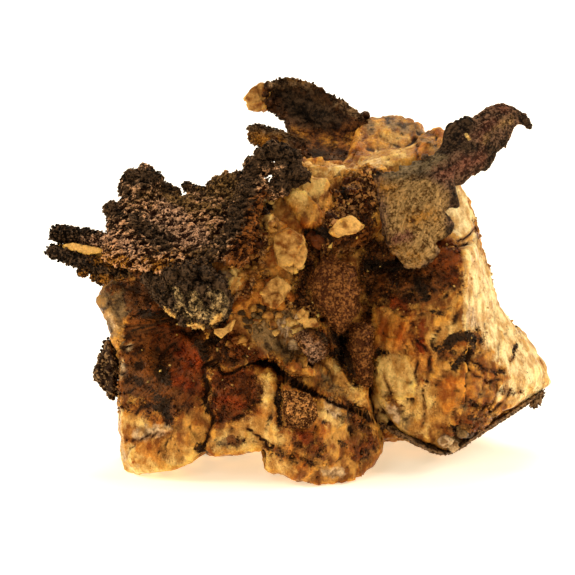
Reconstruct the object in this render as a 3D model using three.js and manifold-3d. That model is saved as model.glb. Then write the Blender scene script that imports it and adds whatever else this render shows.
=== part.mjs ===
// A kongsbergite specimen: crusted leaves of native silver (its mercury-bearing variety,
// kongsbergite) standing out of a lump of iron-stained calcite.
//
// The lump is drawn on its display face, in millimetres: x runs to the right, y into the lump and
// z up the face. The face leans back by LEAN, and the lump stands on the worn flats that the table
// plane cuts. The finished group is in the part frame: +Z up, origin under the middle of the
// specimen, on the table.
//
// Calcite is built as blocks. A block is a convex lump given by its corner edges: each edge sits at
// one x and z and runs from a front depth to a back depth. Silver is built as leaves. A leaf is a
// curved plate across three rails: one edge, the middle and the other edge.

import * as THREE from "three";
import { ConvexGeometry } from "three/addons/geometries/ConvexGeometry.js";
import { mergeVertices } from "three/addons/utils/BufferGeometryUtils.js";
import Module from "manifold-3d";

const wasm = await Module();
wasm.setup();

// Driving dimensions.
const LEAN = THREE.MathUtils.degToRad(14); // how far the display face leans back
const TABLE = 2.4; // height of the table above the display face's zero, along the table's normal
const MIDDLE = { x: 0.1, y: 5.05 }; // where the origin stands, in the leaned frame
const CLEARANCE = 0.32; // the least gap between two neighbouring pieces
const CORNER_GROWTH = 0.56; // moving a block's corners this far grows every face by CLEARANCE or more
const LEAF_STEP = 1.6; // length of one facet of a leaf
const EDGE_THINNING = 0.45; // share of a leaf's thickness that is lost at its edges
const TABLE_SLAB = { width: 120, depth: 120, height: 20 };

// A point of the display face, in the part frame.
function stand([x, y, z]) {
  return new THREE.Vector3(
    x - MIDDLE.x,
    y * Math.cos(LEAN) + z * Math.sin(LEAN) - MIDDLE.y,
    z * Math.cos(LEAN) - y * Math.sin(LEAN) - TABLE,
  );
}

// A closed three.js geometry as a solid that can be joined and cut.
function solidOf(geometry) {
  const bare = geometry.clone();
  bare.deleteAttribute("normal");
  bare.deleteAttribute("uv");
  const merged = mergeVertices(bare, 1e-4);
  const vertProperties = new Float32Array(merged.attributes.position.array);
  const triVerts = new Uint32Array(merged.index.array);
  return new wasm.Manifold(new wasm.Mesh({ numProp: 3, vertProperties, triVerts }));
}

// A solid as a three.js geometry with flat faces.
function geometryOf(solid) {
  const mesh = solid.getMesh();
  const geometry = new THREE.BufferGeometry();
  geometry.setAttribute("position", new THREE.BufferAttribute(new Float32Array(mesh.vertProperties), 3));
  geometry.setIndex(new THREE.BufferAttribute(new Uint32Array(mesh.triVerts), 1));
  const flat = geometry.toNonIndexed();
  flat.computeVertexNormals();
  return flat;
}

// The largest of the separate bodies that a cut leaves.
function largest(solid) {
  return solid.decompose().reduce((best, body) => (body.volume() > best.volume() ? body : best));
}

const join = (solids) => solids.reduce((whole, solid) => whole.add(solid));

// One block of stone. Each edge is [x, z, front depth, back depth].
function block(edges, growth = 0) {
  const nudges = growth
    ? [[1, 0, 0], [-1, 0, 0], [0, 1, 0], [0, -1, 0], [0, 0, 1], [0, 0, -1]]
    : [[0, 0, 0]];
  const corners = [];
  for (const [x, z, front, back] of edges) {
    for (const depth of [front, back]) {
      const corner = stand([x, depth, z]);
      for (const [dx, dy, dz] of nudges) {
        corners.push(corner.clone().add(new THREE.Vector3(dx, dy, dz).multiplyScalar(growth)));
      }
    }
  }
  return solidOf(new ConvexGeometry(corners));
}

const stone = (blocks, growth = 0) => join(blocks.map((edges) => block(edges, growth)));

// One leaf of silver. Its rails are lists of [x, y, z] on the display face.
function leaf({ near, middle, far, thickness }, growth = 0) {
  const rails = [near, middle, far].map(
    (rail) => new THREE.CatmullRomCurve3(rail.map(stand), false, "catmullrom", 0.5),
  );
  const length = Math.max(...rails.map((rail) => rail.getLength()));
  const width = rails[0].getPoint(0.5).distanceTo(rails[2].getPoint(0.5));
  const steps = Math.max(3, Math.ceil(length / LEAF_STEP));
  const lanes = Math.max(2, Math.ceil(width / LEAF_STEP));
  const at = (u, v) => {
    const [a, m, b] = rails.map((rail) => rail.getPoint(u));
    const point = a.multiplyScalar((1 - v) * (1 - 2 * v));
    return point.addScaledVector(m, 4 * v * (1 - v)).addScaledVector(b, v * (2 * v - 1));
  };
  const geometry = new THREE.BoxGeometry(1, 1, 1, steps, lanes, 1);
  const position = geometry.getAttribute("position");
  const nudge = 0.01;
  for (let i = 0; i < position.count; i += 1) {
    const u = position.getX(i) + 0.5;
    const v = position.getY(i) + 0.5;
    const along = at(Math.min(u + nudge, 1), v).sub(at(Math.max(u - nudge, 0), v));
    const across = at(u, Math.min(v + nudge, 1)).sub(at(u, Math.max(v - nudge, 0)));
    const normal = along.clone().cross(across).normalize();
    const shrunk = 1 - EDGE_THINNING * Math.abs(2 * v - 1) ** 3;
    const half = (thickness * shrunk) / 2 + growth;
    const point = at(u, v);
    point.addScaledVector(along.normalize(), (2 * u - 1) * growth);
    point.addScaledVector(across.normalize(), (2 * v - 1) * growth);
    point.addScaledVector(normal, 2 * position.getZ(i) * half);
    position.setXYZ(i, point.x, point.y, point.z);
  }
  return solidOf(geometry);
}

// ---------------------------------------------------------------------------------------------
// Calcite: the lump that everything grew in.

const matrixBlocks = {
  cornerFoot: [
    [-17.1, 1.8, -5.5, 3], [-15.8, 1.5, -6.5, 4], [-12.6, 1.8, -7.8, 5], [-10.8, 2.2, -8.2, 5],
    [-9.9, 3.2, -8.6, 5],
    [-9.4, 8.0, -9, 5], [-12, 9.2, -9, 5], [-17.7, 8.8, -7.5, 3], [-17.7, 5.5, -7, 2],
  ],
  cornerWall: [
    [-17.8, 8.0, -7.2, 3], [-9.3, 7.5, -8.8, 5], [-9.3, 12.5, -8.2, 5], [-10, 16.5, -6, 5],
    [-13, 18.5, -4.5, 5], [-17, 17, -4.5, 3], [-17.8, 12, -6, 2],
  ],
  leftShoulder: [
    [-19.9, 18.6, -6, 1], [-19.4, 19.9, -6, 1], [-18.4, 21, -6, 2], [-13.5, 21.5, -8.5, 2],
    [-12.5, 18.2, -9, 2], [-15.5, 16.6, -8.5, 2], [-17.5, 16, -7.5, 1], [-18.8, 16.6, -6.5, 1],
  ],
  dishBacking: [
    [-17.8, 20.6, -8.4, 0], [-17.4, 23.8, -9.2, -3], [-16.4, 26.0, -7.4, -3.5],
    [-12, 26.6, -6.8, -2.5], [-8.4, 27.4, -6.2, 0], [-7, 24, -8.6, 1], [-7, 20.5, -8.5, 1],
    [-13, 19.5, -8.5, 1],
  ],
  shoulderTail: [
    [-19.2, 17.5, -6, 0], [-17.5, 16.5, -7, 1], [-17, 12, -7, 1], [-17.9, 13, -5.5, 0],
    [-18.6, 15.8, -5.5, 0],
  ],
  lowerCentre: [
    [-9.0, 3.5, -8.8, 5], [-8.2, 3.2, -9.2, 5], [-5, 3.6, -9.6, 5], [-2.2, 4.2, -10, 5],
    [-1.8, 8.5, -10.6, 4], [-2.4, 11, -10, 4], [-5, 12.0, -9.2, 4], [-9, 12, -8.4, 4],
  ],
  lobe: [
    [-3.5, 2.0, -8.5, -3], [-0.8, 1.1, -9.8, -3], [1.2, 0.5, -9.4, -3], [3.2, 0.3, -8.8, -3],
    [5.3, 0.9, -8.2, -2], [7.3, 2.2, -7.4, 1], [8.2, 3.6, -6.6, 3], [8.4, 4.8, -6.2, 3],
    [7.7, 6.6, -6.5, 3], [5.5, 7.6, -8.5, 3], [2.5, 9.5, -10, 3], [-1.5, 10.5, -10.5, 3],
    [-3, 6, -11, 4], [2, 4, -11.5, 4],
  ],
  core: [
    [-12, 8, -4, 8], [9, 6, -4, 9], [9.5, 20, -5, 9], [9, 31, -3, 8], [3, 32, -3, 6],
    [-2, 30.2, -4, 4], [-6, 27.5, -4, 4], [-12, 22, -4, 5],
  ],
  overhang: [
    [-7.5, 12.6, -8, 2], [-2, 11.2, -9.2, 2], [2.5, 9.4, -9.2, 2], [4.2, 10, -8.8, 2],
    [4.5, 13, -8, 2], [1, 16.5, -8, 2], [-3, 17.5, -8.5, 2], [-8, 17, -7.5, 2],
  ],
  middleLeft: [
    [-9, 15, -7.5, 2], [-2, 14.5, -8.5, 2], [2, 17, -8.5, 2], [1, 24, -8.2, 2],
    [-3.5, 28, -7, 1], [-7, 24, -8, 1], [-9.5, 19, -8.5, 2],
  ],
  upperRidge: [
    [-3.2, 30, -5, 0], [0.2, 32.1, -4.5, 0], [4, 31.9, -5, 0], [8.5, 31.8, -5, 0],
    [9, 27, -6.5, 0], [3, 24, -8, 0], [-2.5, 24.5, -7.5, 0],
  ],
  plateFoot: [
    [-0.9, 31.0, 0, 2.4], [-0.6, 32.6, 0.2, 2.2], [0.7, 33.0, 0.4, 2.0], [4.6, 32.5, 0, 1.2],
    [5.5, 31, 0, 1.6],
  ],
  yellowBlock: [
    [0.3, 31, -6.5, -2], [3, 30.9, -6.5, -2], [3.6, 29.5, -7, -2], [2.2, 26.5, -7.8, -2],
    [0.8, 26, -7.6, -2], [-1.5, 29.3, -6.5, -2],
  ],
  rightUpper: [
    [8, 31, -3, 8], [15.8, 31, -1.5, 8], [17.2, 28, -1.5, 7], [17.8, 24.6, -1, 8],
    [18.4, 21.5, -0.5, 8], [20.0, 18.4, 0.5, 8], [19, 12, 1, 9], [8, 12, -3, 9],
  ],
  rightLower: [
    [6, 6.5, -3, 9], [8.5, 5.7, -3.5, 9], [14.7, 3.3, -3, 8], [20.5, 7.0, 0, 8],
    [24.7, 9.8, 2.5, 7], [25.4, 10.4, 3, 6.5], [25, 11.3, 2.5, 6.5], [23.3, 14.2, 1.8, 6.5],
    [20.0, 18.4, 1, 7], [8, 18, -3, 8],
  ],
  rightFront: [
    [7.5, 12, -6, 2], [8.2, 8, -5.5, 2], [10, 5.6, -5, 2], [13.1, 4.3, -5, 2],
    [14.8, 3.6, -4.5, 2], [16.5, 8, -8, 2], [16.8, 14, -9, 2], [16.7, 21, -8, 2],
    [15.5, 24, -7.5, 2], [9, 22, -6, 2], [7.6, 18, -5.5, 2],
  ],
  rightFlankUpper: [
    [16.7, 23.8, -7.5, 2], [17.7, 24.6, -3, 4], [18.3, 21.4, -2.5, 5], [19.8, 18.4, -2, 5],
    [17.2, 14, -8.3, 2], [16.9, 18, -8.4, 2],
  ],
  rightFlankLower: [
    [17.2, 15, -8.2, 2], [19.8, 18.2, -2, 5], [22.8, 14.6, -0.5, 5], [24.8, 11.2, 1, 5],
    [23.4, 9.4, -2, 4], [19.8, 7.1, -4.6, 3], [16.8, 5.3, -6.4, 2], [17.2, 9.0, -8, 2],
  ],
  prow: [
    [3.8, 13.0, -7.6, -4], [4.4, 12.2, -8.8, -4], [7.2, 8.8, -8.8, -4], [7.4, 7.6, -8.2, -4],
    [3.5, 9.2, -8.6, -4], [2.8, 10.5, -8.6, -4],
  ],
  lip: [
    [-3, 13.2, -9.4, -6], [1, 12.4, -10, -6], [3.4, 10.4, -9.8, -6], [2.6, 9.6, -9.4, -6],
    [-1.2, 11.4, -9.4, -6],
  ],
  lipFlake: [
    [-1.8, 12.4, -10.6, -7], [0.8, 12.2, -10.8, -7], [1.8, 11.2, -10.6, -7], [-0.4, 11.0, -10.4, -7],
  ],
  rightShoulder: [
    [14.8, 31.2, -3, 4], [16, 30.7, -2.5, 4], [17, 28.7, -2, 4], [17.2, 27, -2, 4],
    [17.8, 25.4, -2.5, 4], [17.5, 24.6, -3.5, 4], [14.5, 23.5, -6, 4], [14, 28, -5, 4],
  ],
  topLeftStep: [
    [6, 32.0, -2, 6], [9.5, 32.4, -2.5, 6], [11.8, 32.8, -2.5, 6], [11.9, 34.2, 0, 6],
    [9, 33.6, 1, 6], [6.3, 32.8, 1, 6],
  ],
  topRightStep: [
    [11.5, 32.5, -2, 7], [14.6, 32.5, -2, 7], [15.2, 34.5, 0, 7], [14.5, 36, 3, 8],
    [12.4, 35.5, 2, 8], [11.4, 34, 0, 7],
  ],
  topKnoll: [
    [5.4, 33, 3, 12], [5.6, 36.9, 8, 12], [10.2, 37.2, 8, 12], [12.4, 36.5, 8, 12],
    [13.5, 33, 4, 12], [9, 32.5, 3, 12],
  ],
  knollRoot: [
    [3.2, 33.0, 9.8, 12.2], [4.0, 36.2, 10.4, 12.6], [6.4, 36.6, 9, 12.4], [6.6, 32.5, 8, 12],
  ],
  topCore: [
    [2, 28, 0, 10], [15.5, 28, 0, 10], [15.2, 33.5, 2, 10], [6, 33.5, 3, 10], [3, 31.5, 1, 8],
  ],
  back: [
    [-10, 4, 0, 9], [8, 6, 0, 12], [16, 5, 0, 12], [20, 9, 2, 10], [18, 20, 0, 12],
    [14, 32, 2, 12], [4, 32, 2, 12], [-8, 25, 0, 9], [-14, 15, 0, 7],
  ],
  backLeftFoot: [[-9, 3.6, 4, 9.5], [-3, 4.0, 5, 10], [0, 10, 2, 11], [-11, 12, 0, 8]],
  backRightFoot: [[11.8, 4.6, 9, 12.5], [16.5, 4.4, 8.5, 12], [18, 10, 5, 12], [10, 11, 5, 12]],
};

const matrix = stone(Object.values(matrixBlocks));
const matrixRoom = stone(Object.values(matrixBlocks), CORNER_GROWTH);

// Loose-looking grains of calcite that stand proud of the lump or on the silver.
const grainBlocks = {
  calcite_chip: [[
    [3.1, 25.4, -11, -7], [3.9, 26.6, -10.6, -7], [5.3, 27.1, -10.2, -7], [6.8, 26.0, -9.6, -7],
    [5.8, 25.3, -10.8, -7], [3.9, 24.9, -11.2, -7],
  ]],
  calcite_crystal_upper: [[
    [-2.3, 25.2, -9.5, -6], [-0.9, 25.8, -10.2, -6], [0.5, 25.2, -10.6, -6], [1.1, 23.6, -10.6, -6],
    [0.6, 21.8, -10.2, -6], [-0.6, 21.0, -9.9, -6], [-2.2, 22.2, -9.6, -6], [-2.6, 23.8, -9.4, -6],
  ]],
  calcite_crystal_lower: [[
    [-2.0, 21.3, -9.6, -6], [-0.4, 20.0, -10, -6], [-1.2, 18.8, -10, -6], [-2.4, 17.8, -9.8, -6],
    [-3.6, 18.2, -9.6, -6], [-3.8, 19.4, -9.5, -6], [-2.8, 20.8, -9.6, -6],
  ]],
  calcite_beads: [
    [
      [-0.4, 17.4, -9.6, -7], [0.4, 18.2, -9.9, -7], [1.2, 17.6, -10, -7], [1.0, 16.7, -10, -7],
      [0.1, 16.3, -9.8, -7],
    ],
    [
      [0.5, 16.8, -9.7, -7], [1.7, 17.0, -9.9, -7], [2.3, 16.2, -9.9, -7], [1.8, 15.1, -9.9, -7],
      [0.7, 15.2, -9.8, -7],
    ],
  ],
  calcite_shard: [[
    [-8.5, 16.6, -12.6, -10.5], [-6.2, 16.8, -12.6, -10.5], [-6.6, 15.6, -12.8, -10.8],
    [-7.6, 14.9, -13, -11], [-8.3, 15.4, -12.8, -11],
  ]],
  calcite_tip: [[
    [-5.5, 39.0, 8.5, 11], [-4.9, 40.0, 8.3, 11.5], [-3.8, 40.7, 8.2, 11.5], [-2.8, 40.4, 8.4, 11],
    [-2.6, 38.2, 8.0, 10.5], [-4.0, 37.6, 8.0, 10.5], [-5.1, 37.7, 8.2, 10.5],
  ]],
  calcite_fold_filling: [[
    [-24.0, 24.2, -7.5, -5.5], [-22.4, 24.3, -8, -5.5], [-19.4, 23.8, -9.5, -6],
    [-19.4, 22.7, -9.8, -6], [-21.8, 23.2, -8.8, -5.8], [-24.0, 23.6, -7.8, -5.6],
  ]],
};

// ---------------------------------------------------------------------------------------------
// Silver leaves and crusts.

const leaves = {
  dish: {
    near: [
      [-19.4, -10.5, 22.8], [-17.8, -12, 21.9], [-14.8, -13, 21.5], [-11.3, -13.4, 21.3],
      [-8.6, -12.8, 22.2], [-6.6, -11, 24.4],
    ],
    middle: [
      [-19.0, -9, 25.2], [-17.3, -9.2, 26.2], [-14.8, -9.3, 26.2], [-11.3, -9.6, 25.9],
      [-8.8, -9.4, 26.5], [-6.0, -8.6, 27.7],
    ],
    far: [
      [-18.9, -6.6, 27.4], [-17.4, -5.6, 29.0], [-15.6, -4.5, 30.9], [-13, -5, 29.4],
      [-9.6, -5.4, 29.6], [-7.2, -5, 30.6], [-4.8, -5, 31.0],
    ],
    thickness: 1.5,
  },
  rim: {
    near: [[-8.2, -12.4, 22.4], [-7.1, -10.4, 25.4], [-6.5, -8.4, 28.4], [-5.6, -6.2, 31.0]],
    middle: [[-6.8, -13.0, 22.2], [-5.6, -11.2, 25.4], [-5.0, -9.4, 28.4], [-4.2, -7.6, 31.2]],
    far: [[-5.4, -12.2, 21.8], [-4.3, -10.6, 25.0], [-3.6, -9.0, 28.0], [-2.8, -7.6, 30.6]],
    thickness: 1.5,
  },
  crest: {
    near: [[-5.8, -7.2, 30.6], [-3.8, -8.2, 30.2], [-2.2, -8.6, 29.3], [-0.8, -8.8, 29.3]],
    middle: [[-5.2, -6.9, 32.2], [-3.0, -7.4, 32.0], [-1.2, -7.8, 31.4], [0.1, -8.0, 30.6]],
    far: [[-4.2, -6, 33.0], [-2.6, -6, 34.1], [-0.9, -6.3, 33.6], [0.7, -6.8, 31.4]],
    thickness: 1.4,
  },
  horn: {
    near: [[-17.4, -6.4, 28.8], [-17.2, -5.4, 30.2], [-16.6, -4.6, 31.3]],
    middle: [[-16.0, -6.8, 29.0], [-15.9, -5.6, 30.5], [-15.5, -4.6, 31.7]],
    far: [[-14.6, -6.6, 29.2], [-14.4, -5.6, 30.2], [-14.4, -4.8, 31.2]],
    thickness: 1.8,
  },
  foldUpperLip: {
    near: [[-24.8, -6.5, 24.8], [-22.6, -7.2, 24.5], [-20.6, -8.2, 24.2], [-18.6, -9.4, 23.9]],
    middle: [[-24.6, -6, 25.4], [-22.6, -6.6, 25.1], [-20.6, -7.6, 24.8], [-18.6, -8.8, 24.5]],
    far: [[-24.4, -5.4, 25.9], [-22.4, -5.8, 25.7], [-20.6, -6.8, 25.4], [-18.6, -8.2, 25.1]],
    thickness: 1.1,
  },
  foldLowerLip: {
    near: [[-25.1, -7.2, 23.2], [-22.6, -8.2, 22.2], [-20.4, -9.4, 21.4], [-18.4, -10.6, 21.2]],
    middle: [[-25.0, -7.0, 23.8], [-22.6, -8.0, 22.9], [-20.4, -9.2, 22.2], [-18.4, -10.4, 21.9]],
    far: [[-24.8, -6.6, 24.2], [-22.4, -7.4, 23.5], [-20.4, -8.6, 22.9], [-18.4, -9.8, 22.6]],
    thickness: 1.2,
  },
  wing: {
    near: [
      [10.4, -7.8, 21.4], [13.2, -7.4, 22.2], [15.0, -6.6, 24.8], [15.6, -5.6, 27.4],
      [16.6, -4.6, 30.0], [18.6, -3.4, 31.6], [20.6, -2.2, 34.2], [21.6, -1.2, 36.0],
      [23.1, -0.4, 36.0],
    ],
    middle: [
      [8.8, -8.0, 22.8], [10.6, -8.0, 24.6], [11.6, -7.4, 27.0], [13.4, -6.4, 29.8],
      [15.4, -5.0, 32.4], [17.8, -3.6, 34.4], [19.8, -2.4, 36.2], [21.4, -1.4, 37.0],
      [23.2, -0.4, 36.3],
    ],
    far: [
      [7.4, -7.0, 24.8], [7.4, -6.4, 28.0], [8.4, -5.6, 31.0], [11.0, -4.8, 32.6],
      [13.8, -4.0, 34.6], [15.6, -3.2, 36.8], [18.8, -2.2, 38.0], [21.2, -1.4, 37.8],
      [23.3, -0.4, 36.5],
    ],
    thickness: 0.9,
  },
  backPlate: {
    near: [[-3.0, 8.2, 38.0], [-1.5, 7.6, 36.9], [-0.6, 5.4, 34.6], [1.0, 3.4, 32.6], [4.4, 2.6, 31.6]],
    middle: [[-3.2, 9.4, 39.2], [-1.2, 9.8, 38.6], [1.2, 9.2, 36.8], [3.4, 8.0, 35.2], [6.6, 6.4, 34.4]],
    far: [[-3.0, 9.2, 40.4], [-1.2, 9.0, 41.2], [1.5, 8.6, 40.4], [4.5, 8.0, 38.7], [7.0, 7.2, 36.7]],
    thickness: 1.1,
  },
  backFlake: {
    near: [[-4.9, 2.6, 34.6], [-3.6, 2.4, 33.8], [-1.8, 2.4, 33.2], [0.6, 2.0, 32.0]],
    middle: [[-5.0, 3.0, 35.4], [-3.6, 3.2, 35.2], [-1.6, 3.2, 34.6], [0.8, 2.8, 33.4]],
    far: [[-5.1, 3.2, 36.0], [-3.6, 3.4, 36.4], [-1.6, 3.6, 35.6], [1.0, 3.4, 34.6]],
    thickness: 0.8,
  },
  centreLeaf: {
    near: [[0.6, -9.6, 20.6], [1.5, -10.2, 18.2], [2.8, -10.2, 16.4], [4.2, -9.8, 14.8]],
    middle: [[1.6, -9.6, 22.4], [3.4, -10.6, 20.2], [4.2, -10.6, 18.0], [4.8, -9.9, 15.6]],
    far: [[2.8, -8.8, 23.2], [5.2, -9.4, 22.6], [6.4, -9.4, 20.2], [5.8, -9.4, 16.8]],
    thickness: 1.3,
  },
  lowerLeaf: {
    near: [[4.9, -8.6, 16.6], [4.8, -8.9, 14.4], [5.4, -9.0, 12.4], [6.6, -8.8, 10.0]],
    middle: [[6.2, -9.0, 16.7], [6.3, -9.4, 14.4], [6.4, -9.4, 12.2], [6.9, -8.9, 10.0]],
    far: [[7.6, -8.2, 16.6], [7.5, -8.4, 14.4], [7.4, -8.6, 12.2], [7.2, -8.6, 10.0]],
    thickness: 1.1,
  },
  purpleShard: {
    near: [[-0.5, -9.5, 15.2], [0.4, -9.8, 13.8], [1.4, -9.8, 12.2]],
    middle: [[0.3, -9.7, 15.6], [1.4, -10.0, 14.4], [2.2, -9.8, 12.6]],
    far: [[1.4, -9.3, 15.4], [2.8, -9.6, 15.2], [3.2, -9.5, 13.4]],
    thickness: 1.0,
  },
  frontPatch: {
    near: [[-1.6, -11.4, 9.8], [-1.5, -11.7, 8.0], [-1.2, -11.8, 6.0]],
    middle: [[-0.1, -11.6, 9.6], [0.1, -12.2, 7.8], [0.0, -12.2, 5.8]],
    far: [[1.1, -11.0, 9.2], [2.0, -11.6, 7.8], [1.2, -11.8, 6.0]],
    thickness: 1.0,
  },
  underside: {
    near: [
      [8.0, -4.6, 6.2], [10.6, -5.4, 5.0], [14.7, -5.2, 3.3], [18.4, -2.4, 5.4], [22.0, 0.4, 7.6],
      [24.8, 2.6, 9.6],
    ],
    middle: [
      [8.0, -1, 6.0], [10.6, -1.2, 4.9], [14.5, -1, 3.4], [18.2, 0.6, 5.3], [21.6, 2.4, 7.4],
      [24.6, 4.4, 9.4],
    ],
    far: [
      [8.0, 2.4, 5.8], [10.6, 2.8, 4.8], [14.4, 3, 3.6], [18.0, 3.6, 5.2], [21.4, 4.6, 7.3],
      [24.4, 6.2, 9.2],
    ],
    thickness: 0.7,
  },
};

// Silver crusts that are lumps and not leaves are given as blocks, as the calcite is.
const crustBlocks = {
  silver_nodule_front: [
    [
      [-14.8, 21.0, -13, -8], [-13.2, 21.8, -13.6, -8], [-10.0, 21.7, -14.2, -8],
      [-7.8, 20.8, -13.8, -8], [-6.8, 18.6, -13.4, -8], [-7.4, 16.6, -13, -8],
      [-10.0, 16.2, -13.4, -8], [-12.4, 17.6, -13.4, -8], [-14.2, 19.2, -13, -8],
    ],
    [
      [-11.6, 20.6, -14.8, -9], [-8.8, 20.2, -14.8, -9], [-8.4, 18.0, -14.4, -9],
      [-11.0, 17.6, -14.6, -9], [-12.4, 19.0, -14.6, -9],
    ],
  ],
  silver_crust_side: [
    [
      [-18.9, 15.4, -4, 0], [-18.0, 15.6, -5, 0], [-17.6, 9.2, -5, 0], [-18.4, 9.0, -4.4, 0],
      [-19.3, 10.2, -3.8, -0.6], [-20.1, 11.1, -3.4, -1], [-19.6, 12.4, -3.4, -1],
      [-18.8, 13.2, -3.6, -0.6],
    ],
  ],
};

// ---------------------------------------------------------------------------------------------
// The pieces. Each silver piece is cut back to clear the calcite and the pieces placed before it.

const tableSlab = solidOf(
  new THREE.BoxGeometry(TABLE_SLAB.width, TABLE_SLAB.depth, TABLE_SLAB.height).translate(
    0,
    0,
    -TABLE_SLAB.height / 2,
  ),
);

const leafGroup = (...names) => (growth) => join(names.map((name) => leaf(leaves[name], growth)));
const crust = (name) => (growth) => stone(crustBlocks[name], growth && CORNER_GROWTH);
const grain = (name) => (growth) => stone(grainBlocks[name], growth && CORNER_GROWTH);

const colours = {
  calcite: { color: 0xc9a161, roughness: 0.55, metalness: 0.0 },
  brightCalcite: { color: 0xe0bf83, roughness: 0.5, metalness: 0.0 },
  blackSilver: { color: 0x2c2420, roughness: 0.6, metalness: 0.35 },
  satinSilver: { color: 0x6f5c40, roughness: 0.5, metalness: 0.3 },
  brownSilver: { color: 0x54382a, roughness: 0.6, metalness: 0.3 },
};

const placed = [["calcite_matrix", largest(matrix.subtract(tableSlab)), colours.calcite]];
const rooms = [matrixRoom];

function place(name, shape, colour) {
  const cut = rooms.reduce((left, room) => left.subtract(room), shape(0)).subtract(tableSlab);
  placed.push([name, largest(cut), colour]);
  rooms.push(shape(CLEARANCE));
}

place("silver_crust_left", leafGroup("dish", "rim", "crest", "horn"), colours.blackSilver);
place("silver_nodule_front", crust("silver_nodule_front"), colours.blackSilver);
place("silver_crust_side", crust("silver_crust_side"), colours.blackSilver);
place("silver_fold_upper_lip", leafGroup("foldUpperLip"), colours.blackSilver);
place("silver_fold_lower_lip", leafGroup("foldLowerLip"), colours.blackSilver);
place("calcite_fold_filling", grain("calcite_fold_filling"), colours.brightCalcite);
place("silver_wing_right", leafGroup("wing"), colours.satinSilver);
place("silver_plate_back", leafGroup("backPlate"), colours.brownSilver);
place("silver_flake_back", leafGroup("backFlake"), colours.brownSilver);
place("silver_leaf_centre", leafGroup("centreLeaf"), colours.brownSilver);
place("silver_leaf_lower", leafGroup("lowerLeaf"), colours.brownSilver);
place("silver_shard_purple", leafGroup("purpleShard"), colours.brownSilver);
place("silver_patch_front", leafGroup("frontPatch"), colours.brownSilver);
place("silver_sheet_underside", leafGroup("underside"), colours.blackSilver);
place("calcite_tip_back", grain("calcite_tip"), colours.brightCalcite);
place("calcite_chip_centre", grain("calcite_chip"), colours.brightCalcite);
place("calcite_crystal_upper", grain("calcite_crystal_upper"), colours.brightCalcite);
place("calcite_crystal_lower", grain("calcite_crystal_lower"), colours.brightCalcite);
place("calcite_beads", grain("calcite_beads"), colours.brightCalcite);
place("calcite_shard_nodule", grain("calcite_shard"), colours.brightCalcite);

const specimen = new THREE.Group();
for (const [name, solid, colour] of placed) {
  const mesh = new THREE.Mesh(geometryOf(solid), new THREE.MeshStandardMaterial(colour));
  mesh.name = name;
  specimen.add(mesh);
}

export default specimen;
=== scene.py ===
"""Kongsbergite specimen: a lump of stained calcite with crusts and leaves of native silver.

Lengths inside the functions are in millimetres and become metres when a mesh is made. Shapes and
stains are placed on the lump's display face: x runs to the right, y into the lump and z up the face,
which leans back by LEAN. The part frame has +Z up and its origin on the table.
"""

import dataclasses
import math

import bpy
import numpy as np
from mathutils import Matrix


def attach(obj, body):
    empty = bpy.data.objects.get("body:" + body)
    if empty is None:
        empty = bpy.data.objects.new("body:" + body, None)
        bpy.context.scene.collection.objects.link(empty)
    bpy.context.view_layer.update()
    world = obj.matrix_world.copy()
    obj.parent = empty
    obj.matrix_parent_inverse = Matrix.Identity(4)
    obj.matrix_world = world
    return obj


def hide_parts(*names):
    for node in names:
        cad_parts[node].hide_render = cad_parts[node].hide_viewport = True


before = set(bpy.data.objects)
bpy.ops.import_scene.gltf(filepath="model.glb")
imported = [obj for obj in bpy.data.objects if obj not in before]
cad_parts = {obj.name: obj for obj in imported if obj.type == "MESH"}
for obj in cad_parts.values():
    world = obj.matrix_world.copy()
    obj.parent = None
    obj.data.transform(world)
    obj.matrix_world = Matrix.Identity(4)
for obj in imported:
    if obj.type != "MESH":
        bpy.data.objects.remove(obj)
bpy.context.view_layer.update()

bl_info = {
    "name": "Kongsbergite specimen",
    "version": (1, 0, 0),
    "blender": (4, 5, 0),
    "location": "3D View > Sidebar > Specimen",
    "description": "Builds a lump of stained calcite with crusts and leaves of native silver",
    "category": "Object",
}

# ---- The display face, shared with the frame's own solids.

LEAN = math.radians(14)  # how far the display face leans back
TABLE = 2.4  # height of the table above the face's zero, along the table's normal
MIDDLE = np.array([0.1, 5.05])  # where the part's origin stands, in the leaned frame
EYE = np.array([-1.05, -1200.0, 19.95])  # the viewer's place, on the face's own axes
METRES = 0.001
FRONT = np.array([0.0, -math.cos(LEAN), math.sin(LEAN)])  # out of the display face, towards the viewer


def stand(points):
    """Points given on the face's axes, leaned back by LEAN and moved onto the part frame."""
    x, y, z = np.moveaxis(np.asarray(points, float), -1, 0)
    depth = y * math.cos(LEAN) + z * math.sin(LEAN) - MIDDLE[1]
    height = z * math.cos(LEAN) - y * math.sin(LEAN) - TABLE
    return np.stack([x - MIDDLE[0], depth, height], axis=-1)


def on_face(points):
    """The reverse of stand: points of the part frame on the face's own axes."""
    x, depth, height = np.moveaxis(points, -1, 0)
    depth = depth + MIDDLE[1]
    height = height + TABLE
    y = depth * math.cos(LEAN) - height * math.sin(LEAN)
    z = depth * math.sin(LEAN) + height * math.cos(LEAN)
    return np.stack([x + MIDDLE[0], y, z], axis=-1)


def sighted(points):
    """Where the line from the viewer through each point crosses the plane y = 0 of the face: (x, z)."""
    face = on_face(points)
    stretch = EYE[1] / (EYE[1] - face[:, 1])
    x = EYE[0] + (face[:, 0] - EYE[0]) * stretch
    z = EYE[2] + (face[:, 2] - EYE[2]) * stretch
    return np.stack([x, z], axis=1)


# ---- Noise, worked out on whole arrays.

TURN = np.array([[0.36, 0.48, -0.80], [-0.80, 0.60, 0.00], [0.48, 0.64, 0.60]])  # a turn off the axes


def smooth_step(low, high, value):
    """0 below low, 1 above high, and the cubic 3t^2 - 2t^3 between."""
    t = np.clip((value - low) / (high - low), 0.0, 1.0)
    return t * t * (3.0 - 2.0 * t)


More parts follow.
